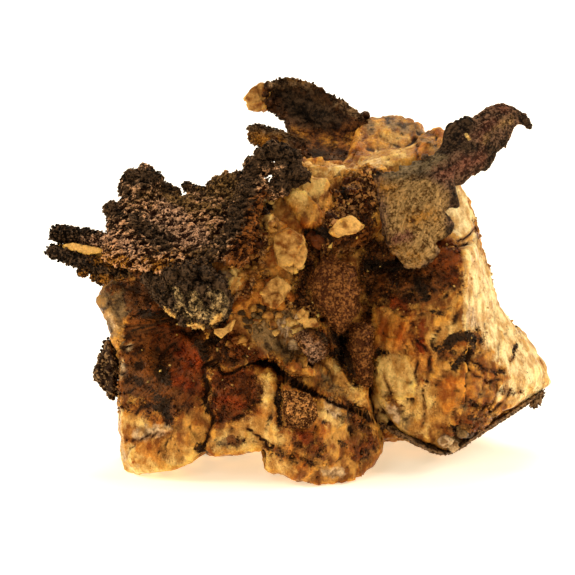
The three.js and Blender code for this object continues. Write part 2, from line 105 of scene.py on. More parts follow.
def corner_value(corner, seed):
    """A number from 0 to 1 for each whole-number corner, by an integer hash of its three coordinates."""
    i, j, k = ((corner[:, axis] & 0xFFFFFFFF).astype(np.uint32) for axis in range(3))
    h = i * np.uint32(374761393) + j * np.uint32(668265263) + k * np.uint32(3266489917)
    h = h + np.uint32((seed * 2654435761) & 0xFFFFFFFF)
    h = (h ^ (h >> np.uint32(15))) * np.uint32(2246822519)
    h = (h ^ (h >> np.uint32(13))) * np.uint32(3266489917)
    return (h ^ (h >> np.uint32(16))).astype(float) / 4294967296.0


def noise(points, size, seed):
    """Value noise from -1 to 1: hashed corner values of a cubic lattice, blended by the quintic fade."""
    place = points @ TURN / size
    base = np.floor(place).astype(np.int64)
    part = place - base
    fade = part**3 * (part * (part * 6.0 - 15.0) + 10.0)
    total = np.zeros(len(points))
    for corner in np.ndindex(2, 2, 2):
        weight = np.prod(np.where(corner, fade, 1.0 - fade), axis=1)
        total += weight * corner_value(base + corner, seed)
    return 2.0 * total - 1.0


def fractal(points, size, seed, octaves=3):
    """Noise summed over octaves, each half the size and half the strength of the one before."""
    total = np.zeros(len(points))
    for octave in range(octaves):
        total += noise(points, size * 0.5**octave, seed + octave) * 0.5**octave
    return total / (2.0 - 0.5 ** (octaves - 1))


def cells(points, size, seed):
    """Scattered cells: the distance to the nearest of one random point per lattice cube, in cell
    sizes, with the step to that point and a random number for its cell."""
    place = points @ TURN / size
    base = np.floor(place).astype(np.int64)
    best = np.full(len(points), 9.0)
    step = np.zeros((len(points), 3))
    name = np.zeros(len(points))
    for offset in np.ndindex(3, 3, 3):
        cube = base + np.array(offset) - 1
        seat = np.stack([corner_value(cube, seed + axis) for axis in range(3)], axis=1)
        away = place - cube - seat
        distance = np.einsum("ij,ij->i", away, away)
        closer = distance < best
        best = np.where(closer, distance, best)
        step[closer] = away[closer]
        name = np.where(closer, corner_value(cube, seed + 3), name)
    return np.sqrt(best), step, name


def grains(points, size, seed):
    """Packed round grains from -1 in the pits to 1 on the tops: 1 - 2 d^2 of the cell distance, on
    points first pushed about by noise so that no two grains are alike."""
    shift = np.stack([noise(points, size * 1.3, seed + 11 + axis) for axis in range(3)], axis=1)
    distance, _, _ = cells(points + shift * size * 0.3, size, seed)
    return np.clip(1.0 - 2.0 * distance**2, -1.0, 1.0)


def facets(points, size, seed):
    """Tilted flat facets: within each cell, the step from its middle along the cell's own random
    direction, which gives broken planes with small steps between them."""
    shift = np.stack([noise(points, size * 2.0, seed + 21 + axis) for axis in range(3)], axis=1)
    _, step, name = cells(points + shift * size * 0.2, size, seed)
    turn = name * 2.0 * math.pi
    rise = (name * 7.0) % 1.0 * 2.0 - 1.0
    flat = np.sqrt(1.0 - rise**2)
    return step[:, 0] * flat * np.cos(turn) + step[:, 1] * flat * np.sin(turn) + step[:, 2] * rise


def ropes(points, size, seed):
    """Winding ropes, from -1 between them to 1 along their backs: 1 - 3|n| of a noise n, which is zero
    along winding surfaces, with ropes of half the size and strength laid over them."""
    thick = 1.0 - 3.0 * np.abs(noise(points, size, seed))
    thin = 1.0 - 3.0 * np.abs(noise(points, size * 0.5, seed + 1))
    return np.clip((thick + 0.5 * thin) / 1.5, -1.0, 1.0)


def ledges(points, direction, spacing, seed):
    """Stepped cleavage from 0 to 1: the way along a direction, bent by noise, counted in steps of the
    spacing, of which each rises evenly and drops at its end."""
    bent = points @ np.asarray(direction) / spacing + fractal(points, spacing * 4.0, seed) * 1.0
    part = bent - np.floor(bent)
    return np.minimum(part / 0.8, (1.0 - part) / 0.2)


# ---- Grids and meshes.


def unit(vectors):
    """Vectors made one unit long."""
    return vectors / np.maximum(np.linalg.norm(vectors, axis=1, keepdims=True), 1e-12)


def weld_quads(keys, quads):
    """Gives vertices with the same key one number. Returns the kept vertices' places and the quads."""
    _, kept, number = np.unique(keys, return_index=True, return_inverse=True)
    return kept, number.reshape(-1)[quads]


def ball_grid(count):
    """Directions over a sphere: a cube's six faces of count by count squares, each lattice place c
    from -1 to 1 spread to tan(c * 45 degrees) and pushed out to the sphere, with shared edges."""
    line = np.arange(count + 1)
    first, second = (g.reshape(-1) for g in np.meshgrid(line, line, indexing="ij"))
    corner = np.arange((count + 1) ** 2).reshape(count + 1, count + 1)
    loop = [corner[:-1, :-1], corner[1:, :-1], corner[1:, 1:], corner[:-1, 1:]]
    square = np.stack(loop, axis=-1).reshape(-1, 4)
    places, quads = [], []
    for axis in range(3):
        for side in (0, count):
            place = np.empty((len(first), 3), dtype=np.int64)
            place[:, axis] = side
            place[:, (axis + 1) % 3] = first
            place[:, (axis + 2) % 3] = second
            places.append(place)
            quads.append((square if side else square[:, ::-1]) + len(first) * len(quads))
    place = np.concatenate(places)
    key = place @ np.array([(count + 1) ** 2, count + 1, 1])
    kept, quads = weld_quads(key, np.concatenate(quads))
    spread = np.tan((2.0 * place[kept] / count - 1.0) * math.pi / 4.0)
    return unit(spread), quads


def normals_of(points, quads):
    """Each vertex's outward direction: the sum of the crossed diagonals of the quads around it."""
    diagonal = points[quads[:, 2]] - points[quads[:, 0]]
    other = points[quads[:, 3]] - points[quads[:, 1]]
    face = np.cross(diagonal, other)
    flat = quads.reshape(-1)
    sums = [np.bincount(flat, np.repeat(face[:, axis], 4), len(points)) for axis in range(3)]
    total = np.stack(sums, axis=1)
    return unit(total)


def soften(values, quads, passes):
    """Moves every value half way to the mean of its quads' values, passes times."""
    flat = quads.reshape(-1)
    around = np.bincount(flat, minlength=len(values)).astype(float)
    for _ in range(passes):
        quad_mean = values[quads].mean(axis=1)
        mean = np.bincount(flat, np.repeat(quad_mean, 4), len(values)) / around
        values = 0.5 * values + 0.5 * mean
    return values


def soften_points(points, quads, passes):
    """Soften applied to each coordinate."""
    return np.stack([soften(points[:, axis], quads, passes) for axis in range(3)], axis=1)


def node_triangles(node):
    """The corners of a frame node's triangles, in millimetres."""
    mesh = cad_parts[node].data
    mesh.calc_loop_triangles()
    places = np.empty(len(mesh.vertices) * 3)
    mesh.vertices.foreach_get("co", places)
    corners = np.empty(len(mesh.loop_triangles) * 3, dtype=np.int32)
    mesh.loop_triangles.foreach_get("vertices", corners)
    return places.reshape(-1, 3)[corners.reshape(-1, 3)] / METRES


def reach(triangles, centre, directions):
    """How far the triangles lie from centre along each direction: the farthest crossing. A ray d
    meets the triangle at a with edges e and f where d.(f x e), d.(f x s) and d.(s x e), with s from
    a to centre, give the crossing's share of each edge and its distance."""
    start = triangles[:, 0]
    edge = triangles[:, 1] - start
    other = triangles[:, 2] - start
    back = centre - start
    flat = np.cross(other, edge).T
    along = np.cross(other, back).T
    across_line = np.cross(back, edge)
    across = across_line.T
    height = np.einsum("ij,ij->i", other, across_line)
    result = np.zeros(len(directions))
    slack = 1e-6
    batch = 4096
    for low in range(0, len(directions), batch):
        rays = directions[low : low + batch]
        facing = rays @ flat
        facing = np.where(np.abs(facing) < 1e-9, 1e-9, facing)
        u = (rays @ along) / facing
        v = (rays @ across) / facing
        inside = (u > -slack) & (v > -slack) & (u + v < 1.0 + slack)
        distance = np.where(inside, height / facing, 0.0)
        result[low : low + batch] = distance.max(axis=1)
    return result


def skin_of(node, count, lean_to_front, smoothing, evening=0):
    """A closed skin over a frame node: from the middle of its box, a point at the node's reach along
    each direction of a ball grid, where the directions crowd towards the front by lean_to_front. Each
    round of evening softens the points, takes new directions from them and casts them out again, which
    spreads the grid evenly over steep places."""
    triangles = node_triangles(node)
    corners = triangles.reshape(-1, 3)
    centre = (corners.min(axis=0) + corners.max(axis=0)) / 2.0
    directions, quads = ball_grid(count)
    directions = unit(directions + lean_to_front * FRONT)
    radius = reach(triangles, centre, directions)
    for _ in range(evening):
        directions = unit(soften_points(directions * radius[:, None], quads, 24))
        radius = reach(triangles, centre, directions)
    radius = soften(radius, quads, smoothing)
    return centre + directions * radius[:, None], quads


def rail_points(rail, count):
    """count places along the Catmull-Rom curve through a rail's points, evenly by parameter, with the
    end points reflected to start and stop the curve. The rail is flat: x, y, z of each point."""
    rail = np.reshape(rail, (-1, 3)).astype(float)
    padded = np.concatenate([[2 * rail[0] - rail[1]], rail, [2 * rail[-1] - rail[-2]]])
    place = np.linspace(0.0, 1.0, count) * (len(rail) - 1)
    low = np.minimum(place.astype(int), len(rail) - 2)
    t = (place - low)[:, None]
    a, b, c, d = (padded[low + shift] for shift in range(4))
    return 0.5 * (
        2 * b + (c - a) * t + (2 * a - 5 * b + 4 * c - d) * t**2 + (3 * b - a - 3 * c + d) * t**3
    )


def leaf_shell(rails, thickness, step, bite, seed):
    """A closed leaf of silver. The mid-surface is the quadratic through three rails at each place u
    along them: near (1-v)(1-2v) + middle 4v(1-v) + far v(2v-1). A section runs once round it by the
    angle s, with v = (1 - cos s) / 2, standing off by half the thickness times sin s. Thickness runs
    out at both ends. The outline is bitten by noise, up to bite deep. Returns the points, the quads,
    each point's place along and across, and its distance to the outline."""
    fine = 400
    lines = [stand(rail_points(rail, fine)) for rail in rails]
    length = max(np.linalg.norm(np.diff(line, axis=0), axis=1).sum() for line in lines)
    width = max(np.linalg.norm(lines[0] - lines[2], axis=1).max(), step * 4)
    along = max(8, int(length / step))
    half = max(6, int(width / step))
    around = 2 * half
    u = np.repeat(np.linspace(0.0, 1.0, along + 1), around)
    column = np.arange(around)
    turn = np.tile(column * math.pi / half, along + 1)
    share = np.tile(np.minimum(column, around - column), along + 1) / half
    v = share - np.sin(2.0 * math.pi * share) / (2.0 * math.pi) * 0.35
    apart = 50.0  # so that opposite sides take different noise
    outline = np.stack([u * length, (v > 0.5) * apart, np.zeros_like(u)], axis=1)
    ragged = 0.5 + 0.3 * fractal(outline, 1.6, seed, 3) + 0.45 * fractal(outline, 0.55, seed + 9, 2)
    ragged = np.clip(ragged, 0.0, 1.0)
    inset = bite * ragged / width
    v = inset + v * (1.0 - 2.0 * inset)
    ends = np.stack([v * width, (u > 0.5) * apart, np.ones_like(u)], axis=1)
    end_inset = bite * (0.5 + 0.5 * fractal(ends, 1.4, seed + 5, 4)) / length
    u = end_inset + u * (1.0 - 2.0 * end_inset)
    place = u * (fine - 1)
    low = np.minimum(place.astype(int), fine - 2)
    t = (place - low)[:, None]
    near, middle, far = (line[low] * (1 - t) + line[low + 1] * t for line in lines)
    w = v[:, None]
    points = near * (1 - w) * (1 - 2 * w) + middle * 4 * w * (1 - w) + far * w * (2 * w - 1)
    slope_v = near * (4 * w - 3) + middle * (4 - 8 * w) + far * (4 * w - 1)
    steps = [line[low + 1] - line[low] for line in lines]
    slope_u = steps[0] * (1 - w) * (1 - 2 * w) + steps[1] * 4 * w * (1 - w) + steps[2] * w * (2 * w - 1)
    normal = unit(np.cross(slope_u, slope_v))
    run_out = (1.0 - np.abs(2.0 * np.repeat(np.linspace(0, 1, along + 1), around) - 1.0) ** 8) ** 0.5
    stand_off = thickness / 2.0 * np.sign(np.sin(turn)) * np.abs(np.sin(turn)) ** 0.6 * run_out
    points = points + normal * stand_off[:, None]
    row = np.arange(along)[:, None] * around
    after = (column + 1) % around
    quads = np.stack([row + column, row + after, row + around + after, row + around + column], axis=-1)
    quads = quads.reshape(-1, 4)
    key = np.arange(len(u))
    last = along * around
    folded = np.minimum(column, (around - column) % around)
    key[:around] = folded
    key[last:] = last + folded
    kept, quads = weld_quads(key, quads)
    spot = np.stack([u * length, v * width], axis=1)
    start = np.repeat(np.linspace(0.0, length, along + 1), around)
    rim = np.minimum.reduce([start, length - start, share * width, (1.0 - share) * width])
    return points[kept], quads_outward(points[kept], quads), spot[kept], rim[kept]


def quads_outward(points, quads):
    """Turns every quad over if the shell's signed volume says that it faces inwards."""
    middle = points.mean(axis=0)
    a, b, c, d = (points[quads[:, corner]] - middle for corner in range(4))
    volume = np.einsum("ij,ij->i", a, np.cross(b, c) + np.cross(c, d)).sum()
    return quads if volume > 0 else quads[:, ::-1]


def joined(shells):
    """Several (points, quads, ...) shells as one, with each further per-vertex array joined too."""
    counts = np.cumsum([0] + [len(shell[0]) for shell in shells[:-1]])
    points = np.concatenate([shell[0] for shell in shells])
    quads = np.concatenate([shell[1] + count for shell, count in zip(shells, counts)])
    rest = [np.concatenate(parts) for parts in zip(*(shell[2:] for shell in shells))]
    return points, quads, *rest


def shown(name, data):
    """A new object in the scene."""
    made = bpy.data.objects.new(name, data)
    bpy.context.collection.objects.link(made)
    return made


def make_piece(name, points, faces, floats, material, node, slot):
    """Puts whole arrays into a mesh in metres, with its per-vertex floats, hangs the piece on the root
    body and hides the frame node that it stands for. The slot is not used."""
    mesh = bpy.data.meshes.new(name)
    sides = faces.shape[1]
    mesh.vertices.add(len(points))
    mesh.vertices.foreach_set("co", (points * METRES).astype(np.float32).reshape(-1))
    mesh.loops.add(faces.size)
    mesh.loops.foreach_set("vertex_index", faces.astype(np.int32).reshape(-1))
    mesh.polygons.add(len(faces))
    mesh.polygons.foreach_set("loop_start", np.arange(0, faces.size, sides, dtype=np.int32))
    mesh.update(calc_edges=True)
    mesh.shade_smooth()
    for label, values in floats.items():
        layer = mesh.attributes.new(label, "FLOAT", "POINT")
        layer.data.foreach_set("value", values.astype(np.float32))
    mesh.materials.append(material)
    piece = shown(name, mesh)
    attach(piece, "root")
    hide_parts(node)


# ---- Marks on the display face, in millimetres. A mark is one row: its half-width, then x and z of each
# of its points in turn. With half-width 0 the points are the corners of an area, and otherwise they
# are the places that a line of that half-width runs through.

FARTHEST = 3.0  # depths in and out of a mark are kept within this
IN_MARK = 1.5  # the depth that a grain wholly inside a mark takes


def mark_depth(place, width, *line):
    """How deep each place lies inside a mark, negative outside: the least distance to the mark's
    sides, signed by the even-odd rule for an area, or taken from the half-width for a line."""
    ends = np.reshape(line, (-1, 2)).astype(float)
    closed = width == 0
    starts = ends if closed else ends[:-1]
    stops = np.roll(ends, -1, axis=0) if closed else ends[1:]
    if len(ends) == 1:
        starts = stops = ends
    best = np.full(len(place), 1e9)
    odd = np.zeros(len(place), bool)
    for start, stop in zip(starts, stops):
        side = stop - start
        share = np.clip((place - start) @ side / max(side @ side, 1e-9), 0.0, 1.0)
        gap = place - start - share[:, None] * side
        best = np.minimum(best, np.einsum("ij,ij->i", gap, gap))
        if closed:
            spans = (start[1] > place[:, 1]) != (stop[1] > place[:, 1])
            rise = side[1] if side[1] else 1e-9
            odd ^= spans & (place[:, 0] < start[0] + (place[:, 1] - start[1]) * side[0] / rise)
    best = np.sqrt(best)
    return np.where(odd, best, -best) if closed else width - best


def stain_depth(place, marks):
    """The deepest of several marks, kept within FARTHEST."""
    depth = np.full(len(place), -FARTHEST)
    for mark in marks:
        depth = np.maximum(depth, mark_depth(place, *mark))
    return np.clip(depth, -FARTHEST, FARTHEST)


STAINS = {
    "orange": [
        (0, 7.8, 17, 9.6, 17.6, 11.8, 17, 12.2, 14.4, 11.7, 13.2, 9.2, 13.4, 8, 14.6),
        (0.7, 12.4, 13.4, 12.3, 10.4), (0, 13.8, 10.9, 17.6, 10.8, 17.4, 7.9, 15, 7.6, 13.8, 8.8),
        (0, 0.2, 7.2, 3, 6.6, 3.4, 5, 1.2, 4.2, -0.8, 5.4), (0.4, -1.2, 3.6, 0.8, 2.4),
        (0, -6.8, 21.8, -3.6, 22.2, -2.4, 19.8, -4.2, 17, -6.8, 17.6), (0.5, -1.4, 26.2, 0.4, 25.8),
        (0, -17.6, 4.2, -14.8, 4.4, -13.4, 3, -13.6, 1.8, -17, 1.9), (0.8, -17.8, 8, -17.4, 5.8),
        (0.9, -15.8, 7.8, -13.6, 6.6), (0.4, 12.2, 34, 13.8, 34.4), (0.7, 15.4, 27.4, 16.4, 27.2),
        (0.7, -6.6, 24.2, -4.4, 20.4), (0.6, -3.2, 23.8, -1.6, 21.4), (0.4, 5.6, 34.2, 7.2, 33.6),
        (0.7, 9.2, 9.4, 10.6, 9), (0.7, -5.4, 9.4, -3.8, 7.4), (0.5, 11.8, 33.4, 12.6, 34.4),
        (0.6, -17.6, 20.4),
    ],
    "pale": [
        (0, 16.4, 24.7, 17.7, 25.3, 18.6, 23.2, 20.6, 18.7, 23.8, 14.2, 26.2, 10.4, 24.6, 9.3, 21.7, 8.7,
         20.7, 11.2, 19.2, 13.7, 18.2, 15.7, 16.8, 15.2, 16.5, 18.7, 16.5, 21.7),
        (0, 14.9, 29.2, 16, 30.7, 17.2, 29.7, 17.8, 27.2, 18, 25.2, 15.7, 24.7, 15.2, 25.7, 14.4, 27.2),
        (0.8, 20.4, 9.4, 23.6, 8.8), (0.7, -17.8, 3.6, -17, 1.8, -14.4, 1.2), (0.5, -18.2, 7.6, -18, 4.6),
        (0.15, 3.4, 31.8, 6, 32.2, 8.6, 32.4),
    ],
    "cream": [
        (0.3, 9.6, 34.8, 11, 35), (0, 5, 31.8, 6.5, 33.2, 10.2, 34.2, 11.6, 34.6, 11.6, 32.7, 8.7, 32.1),
        (0.4, 7.6, 36, 9.4, 36), (0.6, -3.1, 28.9, -2.2, 27.8),
        (0, -0.6, 30.8, 2.6, 31.3, 2.4, 29.6, 0.6, 27.8, -1, 28.4), (0.6, -2.8, 26.4, -2.6, 25.6),
        (0.5, 1.4, 31.8), (0.35, 1.8, 31.9, 3.6, 31.8, 4.8, 31.9), (0.5, -18.2, 8, -18, 3.4),
        (0.9, -16.8, 1.4, -12, 2.2, -10.4, 3.4), (0.4, -17, 3.6, -15, 2.8), (0.5, -17.4, 6.6, -15.4, 6.6),
        (0.7, -3.2, 10.6, -2.8, 8.4),
        (0, -2.6, 6.8, -1.6, 4.4, -3.6, 3.9, -7, 3.4, -8.4, 3.6, -8.2, 5, -6.4, 5.5, -4.6, 6.6),
        (0, 7.4, 12.9, 9.2, 13.5, 11.2, 12.6, 13, 10.9, 13.4, 7.8, 12.8, 5.4, 10.2, 5, 8.2, 6.4, 7, 8.7),
        (0.7, 2.6, 7.6, 4.2, 6.4), (0.7, 4, 12, 6.6, 8.8), (0.5, -3.4, 3, -1, 1.6),
        (0.18, -18.8, 17.6, -17.6, 15, -17.1, 13.2, -17.2, 10.8, -17.9, 9.2),
        (0.14, -19.8, 19.4, -18.8, 17.2, -18.4, 16), (0.35, -16, 13.8),
        # From (13.2, 14.8) to (15.6, 15.8): a painted highlight.
        (0.32, 13.2, 14.8, 14.4, 15.3, 15.6, 15.8), (0.5, -7.4, 20.9, -6.6, 19.6),
    ],
    "gravel": [
        (0, -7.4, 25.4, -4.8, 26.4, -3.4, 26, -2.6, 24.4, -3.6, 22.4, -6.4, 22.2),
        (0.3, -6.4, 19, -4.8, 19.6, -4.2, 21.4), (0.3, -3.4, 21.4, -2.8, 19.6, -3.6, 17.8),
        (0, 0.8, 24.4, 2.2, 26, 3.2, 28, 4.4, 30.6, 6.6, 32, 9, 31.2, 8, 27.6, 7, 24.4, 4.6, 23.4, 2.4,
         22.8, 1.2, 22.6), (0.9, -7.8, 14.8, -6.4, 13.4), (0.7, -1.4, 18.8, 0.2, 18.6, 1.4, 17.4),
    ],
    "rust": [
        (0, -14.8, 16.2, -12.3, 16.9, -10.3, 15.2, -9.2, 12.7, -9.2, 9.2, -10.8, 8.6, -12.4, 10.2, -12.6,
         12.7, -14.6, 14), (0, -8.6, 12, -4.6, 11.6, -3.8, 9.4, -5, 7.4, -8.2, 6.2, -8.9, 9),
        (0.3, 9.4, 18, 11, 17.5, 12.4, 17.9), (0, 14.2, 25, 16.4, 24.2, 16.4, 20.2, 14.4, 20.2, 13, 22.4),
        (0.7, -7.8, 16.2, -5.8, 13.8, -4.2, 12.8), (0.3, 5, 33.8, 6.2, 33), (0.5, 12.2, 15.8, 12.4, 14),
        (0.6, -0.6, 6.2, 1.4, 4.4), (0.6, 5.6, 3.6, 7.4, 4.6), (0.5, 17.6, 8.6, 18.8, 8, 18.4, 7.2),
        (0.35, 16, 7, 17, 6.4, 18.6, 6.6), (0.35, 14.6, 5.8, 15.4, 5.2), (0.7, -4.4, 29, -4.6, 27),
        (0.5, 6.2, 13.4, 7.2, 11.8), (0.5, 9, 9.2, 9.6, 8.6),
    ],
    "umber": [
        (0, -17, 20.6, -16.4, 22, -7.6, 21.4, -7.6, 16.4, -9.6, 14.2, -9.3, 12.2, -9.3, 7.9, -11.3, 7.7,
         -12.6, 6.6, -14, 7.4, -14.8, 8.4, -16.3, 8.9, -18.4, 9.2, -18.2, 13, -17.6, 15.4, -16.8, 17.6),
        (0, 6.7, 25.2, 10.4, 23.6, 15, 22.6, 16.4, 21.2, 16.3, 19.4, 14, 19, 12.4, 19.4, 9.6, 19.4, 7.9,
         17.8, 6.6, 18.4, 6.2, 21.6),
        (0, 2.8, 26.2, 5.4, 26.6, 7.4, 28.4, 7.9, 27, 7.2, 24.2, 2.6, 24, 1.2, 25.2),
        (0.8, 9.8, 18.8, 12.2, 18.9), (0.6, -17.2, 8.2, -15.2, 8, -14.6, 7),
        (0.16, 20.6, 18.8, 21.6, 17.2, 22.6, 15.6), (0.08, 18.2, 26, 18.8, 23.8, 19.6, 21.4, 20.4, 19.4),
        (0.4, -18.8, 19.4, -17.8, 20.4), (0.5, -17, 18.4, -16.8, 20.4), (0.3, 0.8, 3.8, 2.6, 2.8),
        (0.3, -0.4, 4.8, 0.8, 3.4), (0, -9.2, 16.6, -7, 16, -5.8, 14, -5.4, 12.6, -6.4, 11.6, -9.2, 12.2),
        (0, -8.8, 12, -4.4, 11.8, -3.4, 9.6, -4.4, 7.6, -6.4, 6.6, -8.6, 6.6),
        (0.7, 5.6, 6.6, 6.8, 5.6, 7.2, 4.2, 6.2, 3.2), (0.9, -4.4, 29.4, -4.6, 25.8, -6, 22.6),
        (1, 3.8, 16.6, 4.4, 13.8, 6.4, 10.8), (0.9, 0.8, 22.6, 0.2, 18.9),
        (0.35, -2.6, 12.4, 0.2, 10.4, 2, 9.3), (0.2, 2, 9.3, 4, 8.6, 6.6, 7.5),
        (1.1, -16.2, 11.2, -14.6, 10.2, -13.4, 9), (0.7, -14.4, 8.2, -12.8, 7.2), (0.9, 2.2, 15.2, 3, 13.8),
        (0.3, -6.6, 4.6, -5.6, 4.6), (0.35, 1.8, 5.4, 2.4, 4, 2, 3.2), (0.3, -3, 4, -1.4, 3.2, 1.2, 2.6),
        (0.4, 14.8, 13.2, 17.4, 13.4), (0.22, 17.2, 8.4, 18.6, 7.8, 19.6, 7.9),
        (0.18, 15, 5.9, 16.6, 5.6, 18.4, 5.8), (0.1, 18.6, 10.6, 20.4, 9.6, 22.4, 9.6),
        (0.4, 7, 16.8, 7.2, 12.6), (0.5, -18, 12, -18.2, 10.4),
    ],
    # Black oxide stains, with painted shadows among them.
    "soot": [
        (0.26, 13.6, 13.8, 14.6, 14.3), (0.5, 14.9, 14.3, 15.8, 14.9, 16.7, 15.1, 17.5, 14.9),
        (0.3, 14.6, 13.7, 15.4, 14.2), (0.22, 14.2, 13.6, 15.2, 14.2), (0.18, 17.2, 14.4, 17.9, 14),
        (0.42, 17, 13.6, 16.9, 13), (0.36, 16.1, 12.7, 15.7, 12.1), (0.12, 16.6, 13.4, 17, 13),
        (0.04, 17.4, 12.4, 18.2, 11.8, 19.2, 11.4), (0.22, 19.4, 11.4, 20.3, 11.7),
        (0.28, 13.5, 17.6, 14.2, 17.4), (0.65, -13.7, 11.6, -13.1, 10.7), (0.35, -14.6, 9.4, -13.2, 8.4),
        (0.5, -13.6, 7.8, -12.9, 6.9), (0.45, -16.4, 15.6, -15.8, 13.8, -16.2, 12.4),
        (0.3, -16.6, 11, -15.8, 10.6), (0.25, -17, 7.7), (0.3, -14.2, 7.8, -13.2, 7.1),
        # From (-15.4, 17.2) to (-11.2, 17): painted shadow under the left shoulder's ledge.
        (0.6, -15.4, 17.2, -13.2, 16.9, -11.2, 17), (0.5, 12, 20.6, 12.8, 19),
        # From (7.2, 22.2) to (11.4, 22.4): painted shadow under the wing's lower edge.
        (0.6, 7.2, 22.2, 9.4, 22, 11.4, 22.4), (0.1, 13.6, 10.2), (0.08, 13.8, 9.2), (0.08, 13.8, 8.4),
        (0.07, 13.8, 7.6), (0.14, 17.2, 8.7, 17.8, 8, 18.2, 8.4), (0.12, 17, 7, 18, 6.8, 18.6, 7.2),
        # From (-2, 10.4) to (-1.8, 6.2): painted shadow at the front patch's left side.
        (0.18, 15.2, 6.4, 15.8, 5.6), (0.25, -2, 10.4, -1.9, 8.2, -1.8, 6.2),
        (0.5, -10, 14.4, -9.2, 13.2, -8.8, 12.2), (0.28, 8, 13.6, 8.8, 13.4),
        # From (4, 15.2) to (5.4, 11.8): painted shadow left of the lower leaf.
        (0.7, 4, 15.2, 4.4, 13.6, 5.4, 11.8), (0.3, -9.4, 8.6, -9.2, 7.6), (0.45, -9.9, 3.9, -9.5, 3.6),
        (0.25, 4.2, 4.6, 4.6, 4.2), (0.5, 1, 25.4, 3, 25), (0.6, -4.6, 27.8, -3, 27.9),
        (0.25, 4.4, 30, 5, 28.8), (0.5, -6.4, 26.8, -5.8, 25.2), (0.07, 21.9, 14.4, 21.5, 13.2, 21.2, 12.6),
        (0.12, 20.9, 17.6, 21.4, 17), (0.1, 20.3, 19, 20.6, 18.4), (0.1, 21.9, 16.2, 22.4, 15.6),
        (0.1, -2.6, 3.4, -1.6, 3.1), (0.4, -8.4, 14.6, -7.4, 15.6), (0.18, 17.9, 15.8, 18.4, 14.6),
    ],
    "grey": [
        (0.55, -16, 5.3, -14.4, 5.6, -13.2, 5.9), (0.12, -19, 17.4, -18, 15.8, -17.6, 14.4),
        (0.22, -17, 14.4, -16.7, 13.6), (0.12, -17.5, 13, -17.7, 10.6), (0.4, -7.3, 21.2, -6.4, 20),
        (0.45, 2.8, 1.5, 4.4, 1.3), (0.5, 3, 8.3, 3.8, 7.6), (0.45, -2.2, 16.6, -0.9, 15.2),
        (0.4, -0.4, 14, -1.2, 16.4), (0.6, 14.6, 4.6, 15.6, 4.2), (0.4, 17.2, 17.6, 17.6, 16.4),
        (0.4, 9, 8, 10, 6.8),
    ],
    "drab": [
        (0, -20.2, 18.4, -19.6, 20.4, -18.4, 21.4, -16.8, 21.6, -16.2, 19.4, -16.8, 17, -17.4, 15.4, -18.6,
         15, -19.6, 16.8), (0.9, -3.8, 15.6, -2.4, 14.2, -0.8, 13.4), (0.7, -2, 17.2, -0.4, 16.2),
        (0.5, 2.6, 11.2, 3.8, 9.6), (0.4, 3.2, 8.4, 4.6, 7.2, 5.4, 5.8), (0.4, -8, 4.4, -6, 4.4),
        (0.6, 9.2, 8, 10.8, 6.4), (0.5, 15.6, 5.4, 17.4, 6, 19.2, 7.2), (0.35, 16.4, 8, 18.2, 9),
        (0.8, -7, 24.6, -6, 22.4), (0.7, 9, 36.6, 10.4, 35.8, 12.2, 35.4), (0.5, 12.4, 35, 13.6, 34),
        (0.5, 6.6, 36.6, 7.4, 36),
    ],
    "ember": [
        (0.9, -11.4, 13.4, -10.2, 12.6), (0.5, -12.4, 10.8, -10.6, 10.2), (0.5, -7.2, 8.8, -5.8, 8.2),
        (0.2, 9.6, 18.4, 11, 17.9), (0.3, -0.2, 5.6, 0.8, 5), (0.25, 3.4, 33.2, 4.6, 32.9),
        (0.3, 12.3, 16.6, 12.4, 13.4), (0.25, 12.3, 12.2, 12.4, 10.6),
    ],
}

# Open cracks in the lump, which the material also paints with shade inside and beside them: the
# half-width, the depth, then x and z of each point.
CRACKS = [
    (0.06, 0.6, -9.3, 12.2, -9.1, 10, -9.2, 8.6, -8.6, 7.2, -8.7, 6.2, -9.4, 4.6, -9.9, 3.5),
    (0.1, 0.9, -9.2, 12.2, -8.2, 12, -7.4, 11.3, -6.2, 11.5, -5.4, 12, -3.8, 12.2),
    (0.36, 2.2, -3.8, 12.3, -2.4, 12.2, -1.5, 11.4), (0.26, 1.8, -1.6, 11.5, -1, 10.8, 0.4, 9.8, 1.8, 9.1),
    (0.07, 0.8, 1.8, 9.1, 4.2, 8.2, 5.8, 7.4, 7.8, 6.6), (0.03, 0.25, -17.4, 4.7, -15, 5, -12.6, 5.6),
    (0.05, 0.4, 12, 14.8, 12.9, 13.7, 13.1, 12.6, 13, 10.6), (0.04, 0.5, 15.9, 24.6, 17.2, 25.2, 18.4, 26),
    (0.03, 0.3, 21.9, 14.4, 21.5, 13.2, 21.2, 12.6),
    (0.03, 0.3, 11.4, 35.4, 11.9, 34.2, 11.7, 33.2, 12, 32.6), (0.05, 0.4, -13.2, 17.4, -10.8, 16.6),
    (0.07, 0.45, -2.1, 10.6, -2.1, 8.4, -1.9, 6.2),
    (0.06, 0.5, -17.4, 15.2, -16.6, 16.8, -15.2, 17.5, -13.5, 17.4, -12.6, 16.2),
    (0.03, 0.3, -8.8, 7, -6.8, 6.6, -5.4, 7), (0.08, 0.6, 7.6, 12.6, 7.2, 9.6, 7.4, 7.8),
    (0.03, 0.3, 17.4, 12.6, 18.4, 11.7, 20.6, 11.5), (0.1, 0.8, 3.6, 15, 4.4, 12.4, 5.8, 10.2),
    (0.05, 0.5, 0, 18.6, 1.4, 17, 0.2, 14.6, 1.6, 12.6),
    (0.03, 0.25, 11.6, 14.6, 11.9, 12.8, 11.8, 11.4, 12.1, 9.6), (0.02, 0.2, 12.6, 9.8, 12.8, 8, 12.4, 6.2),
    (0.03, 0.3, 17, 11.8, 17.6, 11, 18.9, 10.6, 20.4, 10.9), (0.03, 0.3, 19.8, 10.2, 19.4, 8.6, 18.6, 7.8),
    (0.03, 0.3, 21.2, 9.8, 20.6, 8.6, 19.2, 7.4), (0.02, 0.2, 8.6, 11, 9.4, 9.6, 9.2, 8),
    (0.04, 0.4, -5, 5.8, -3.4, 4.6, -3, 3.8),
]

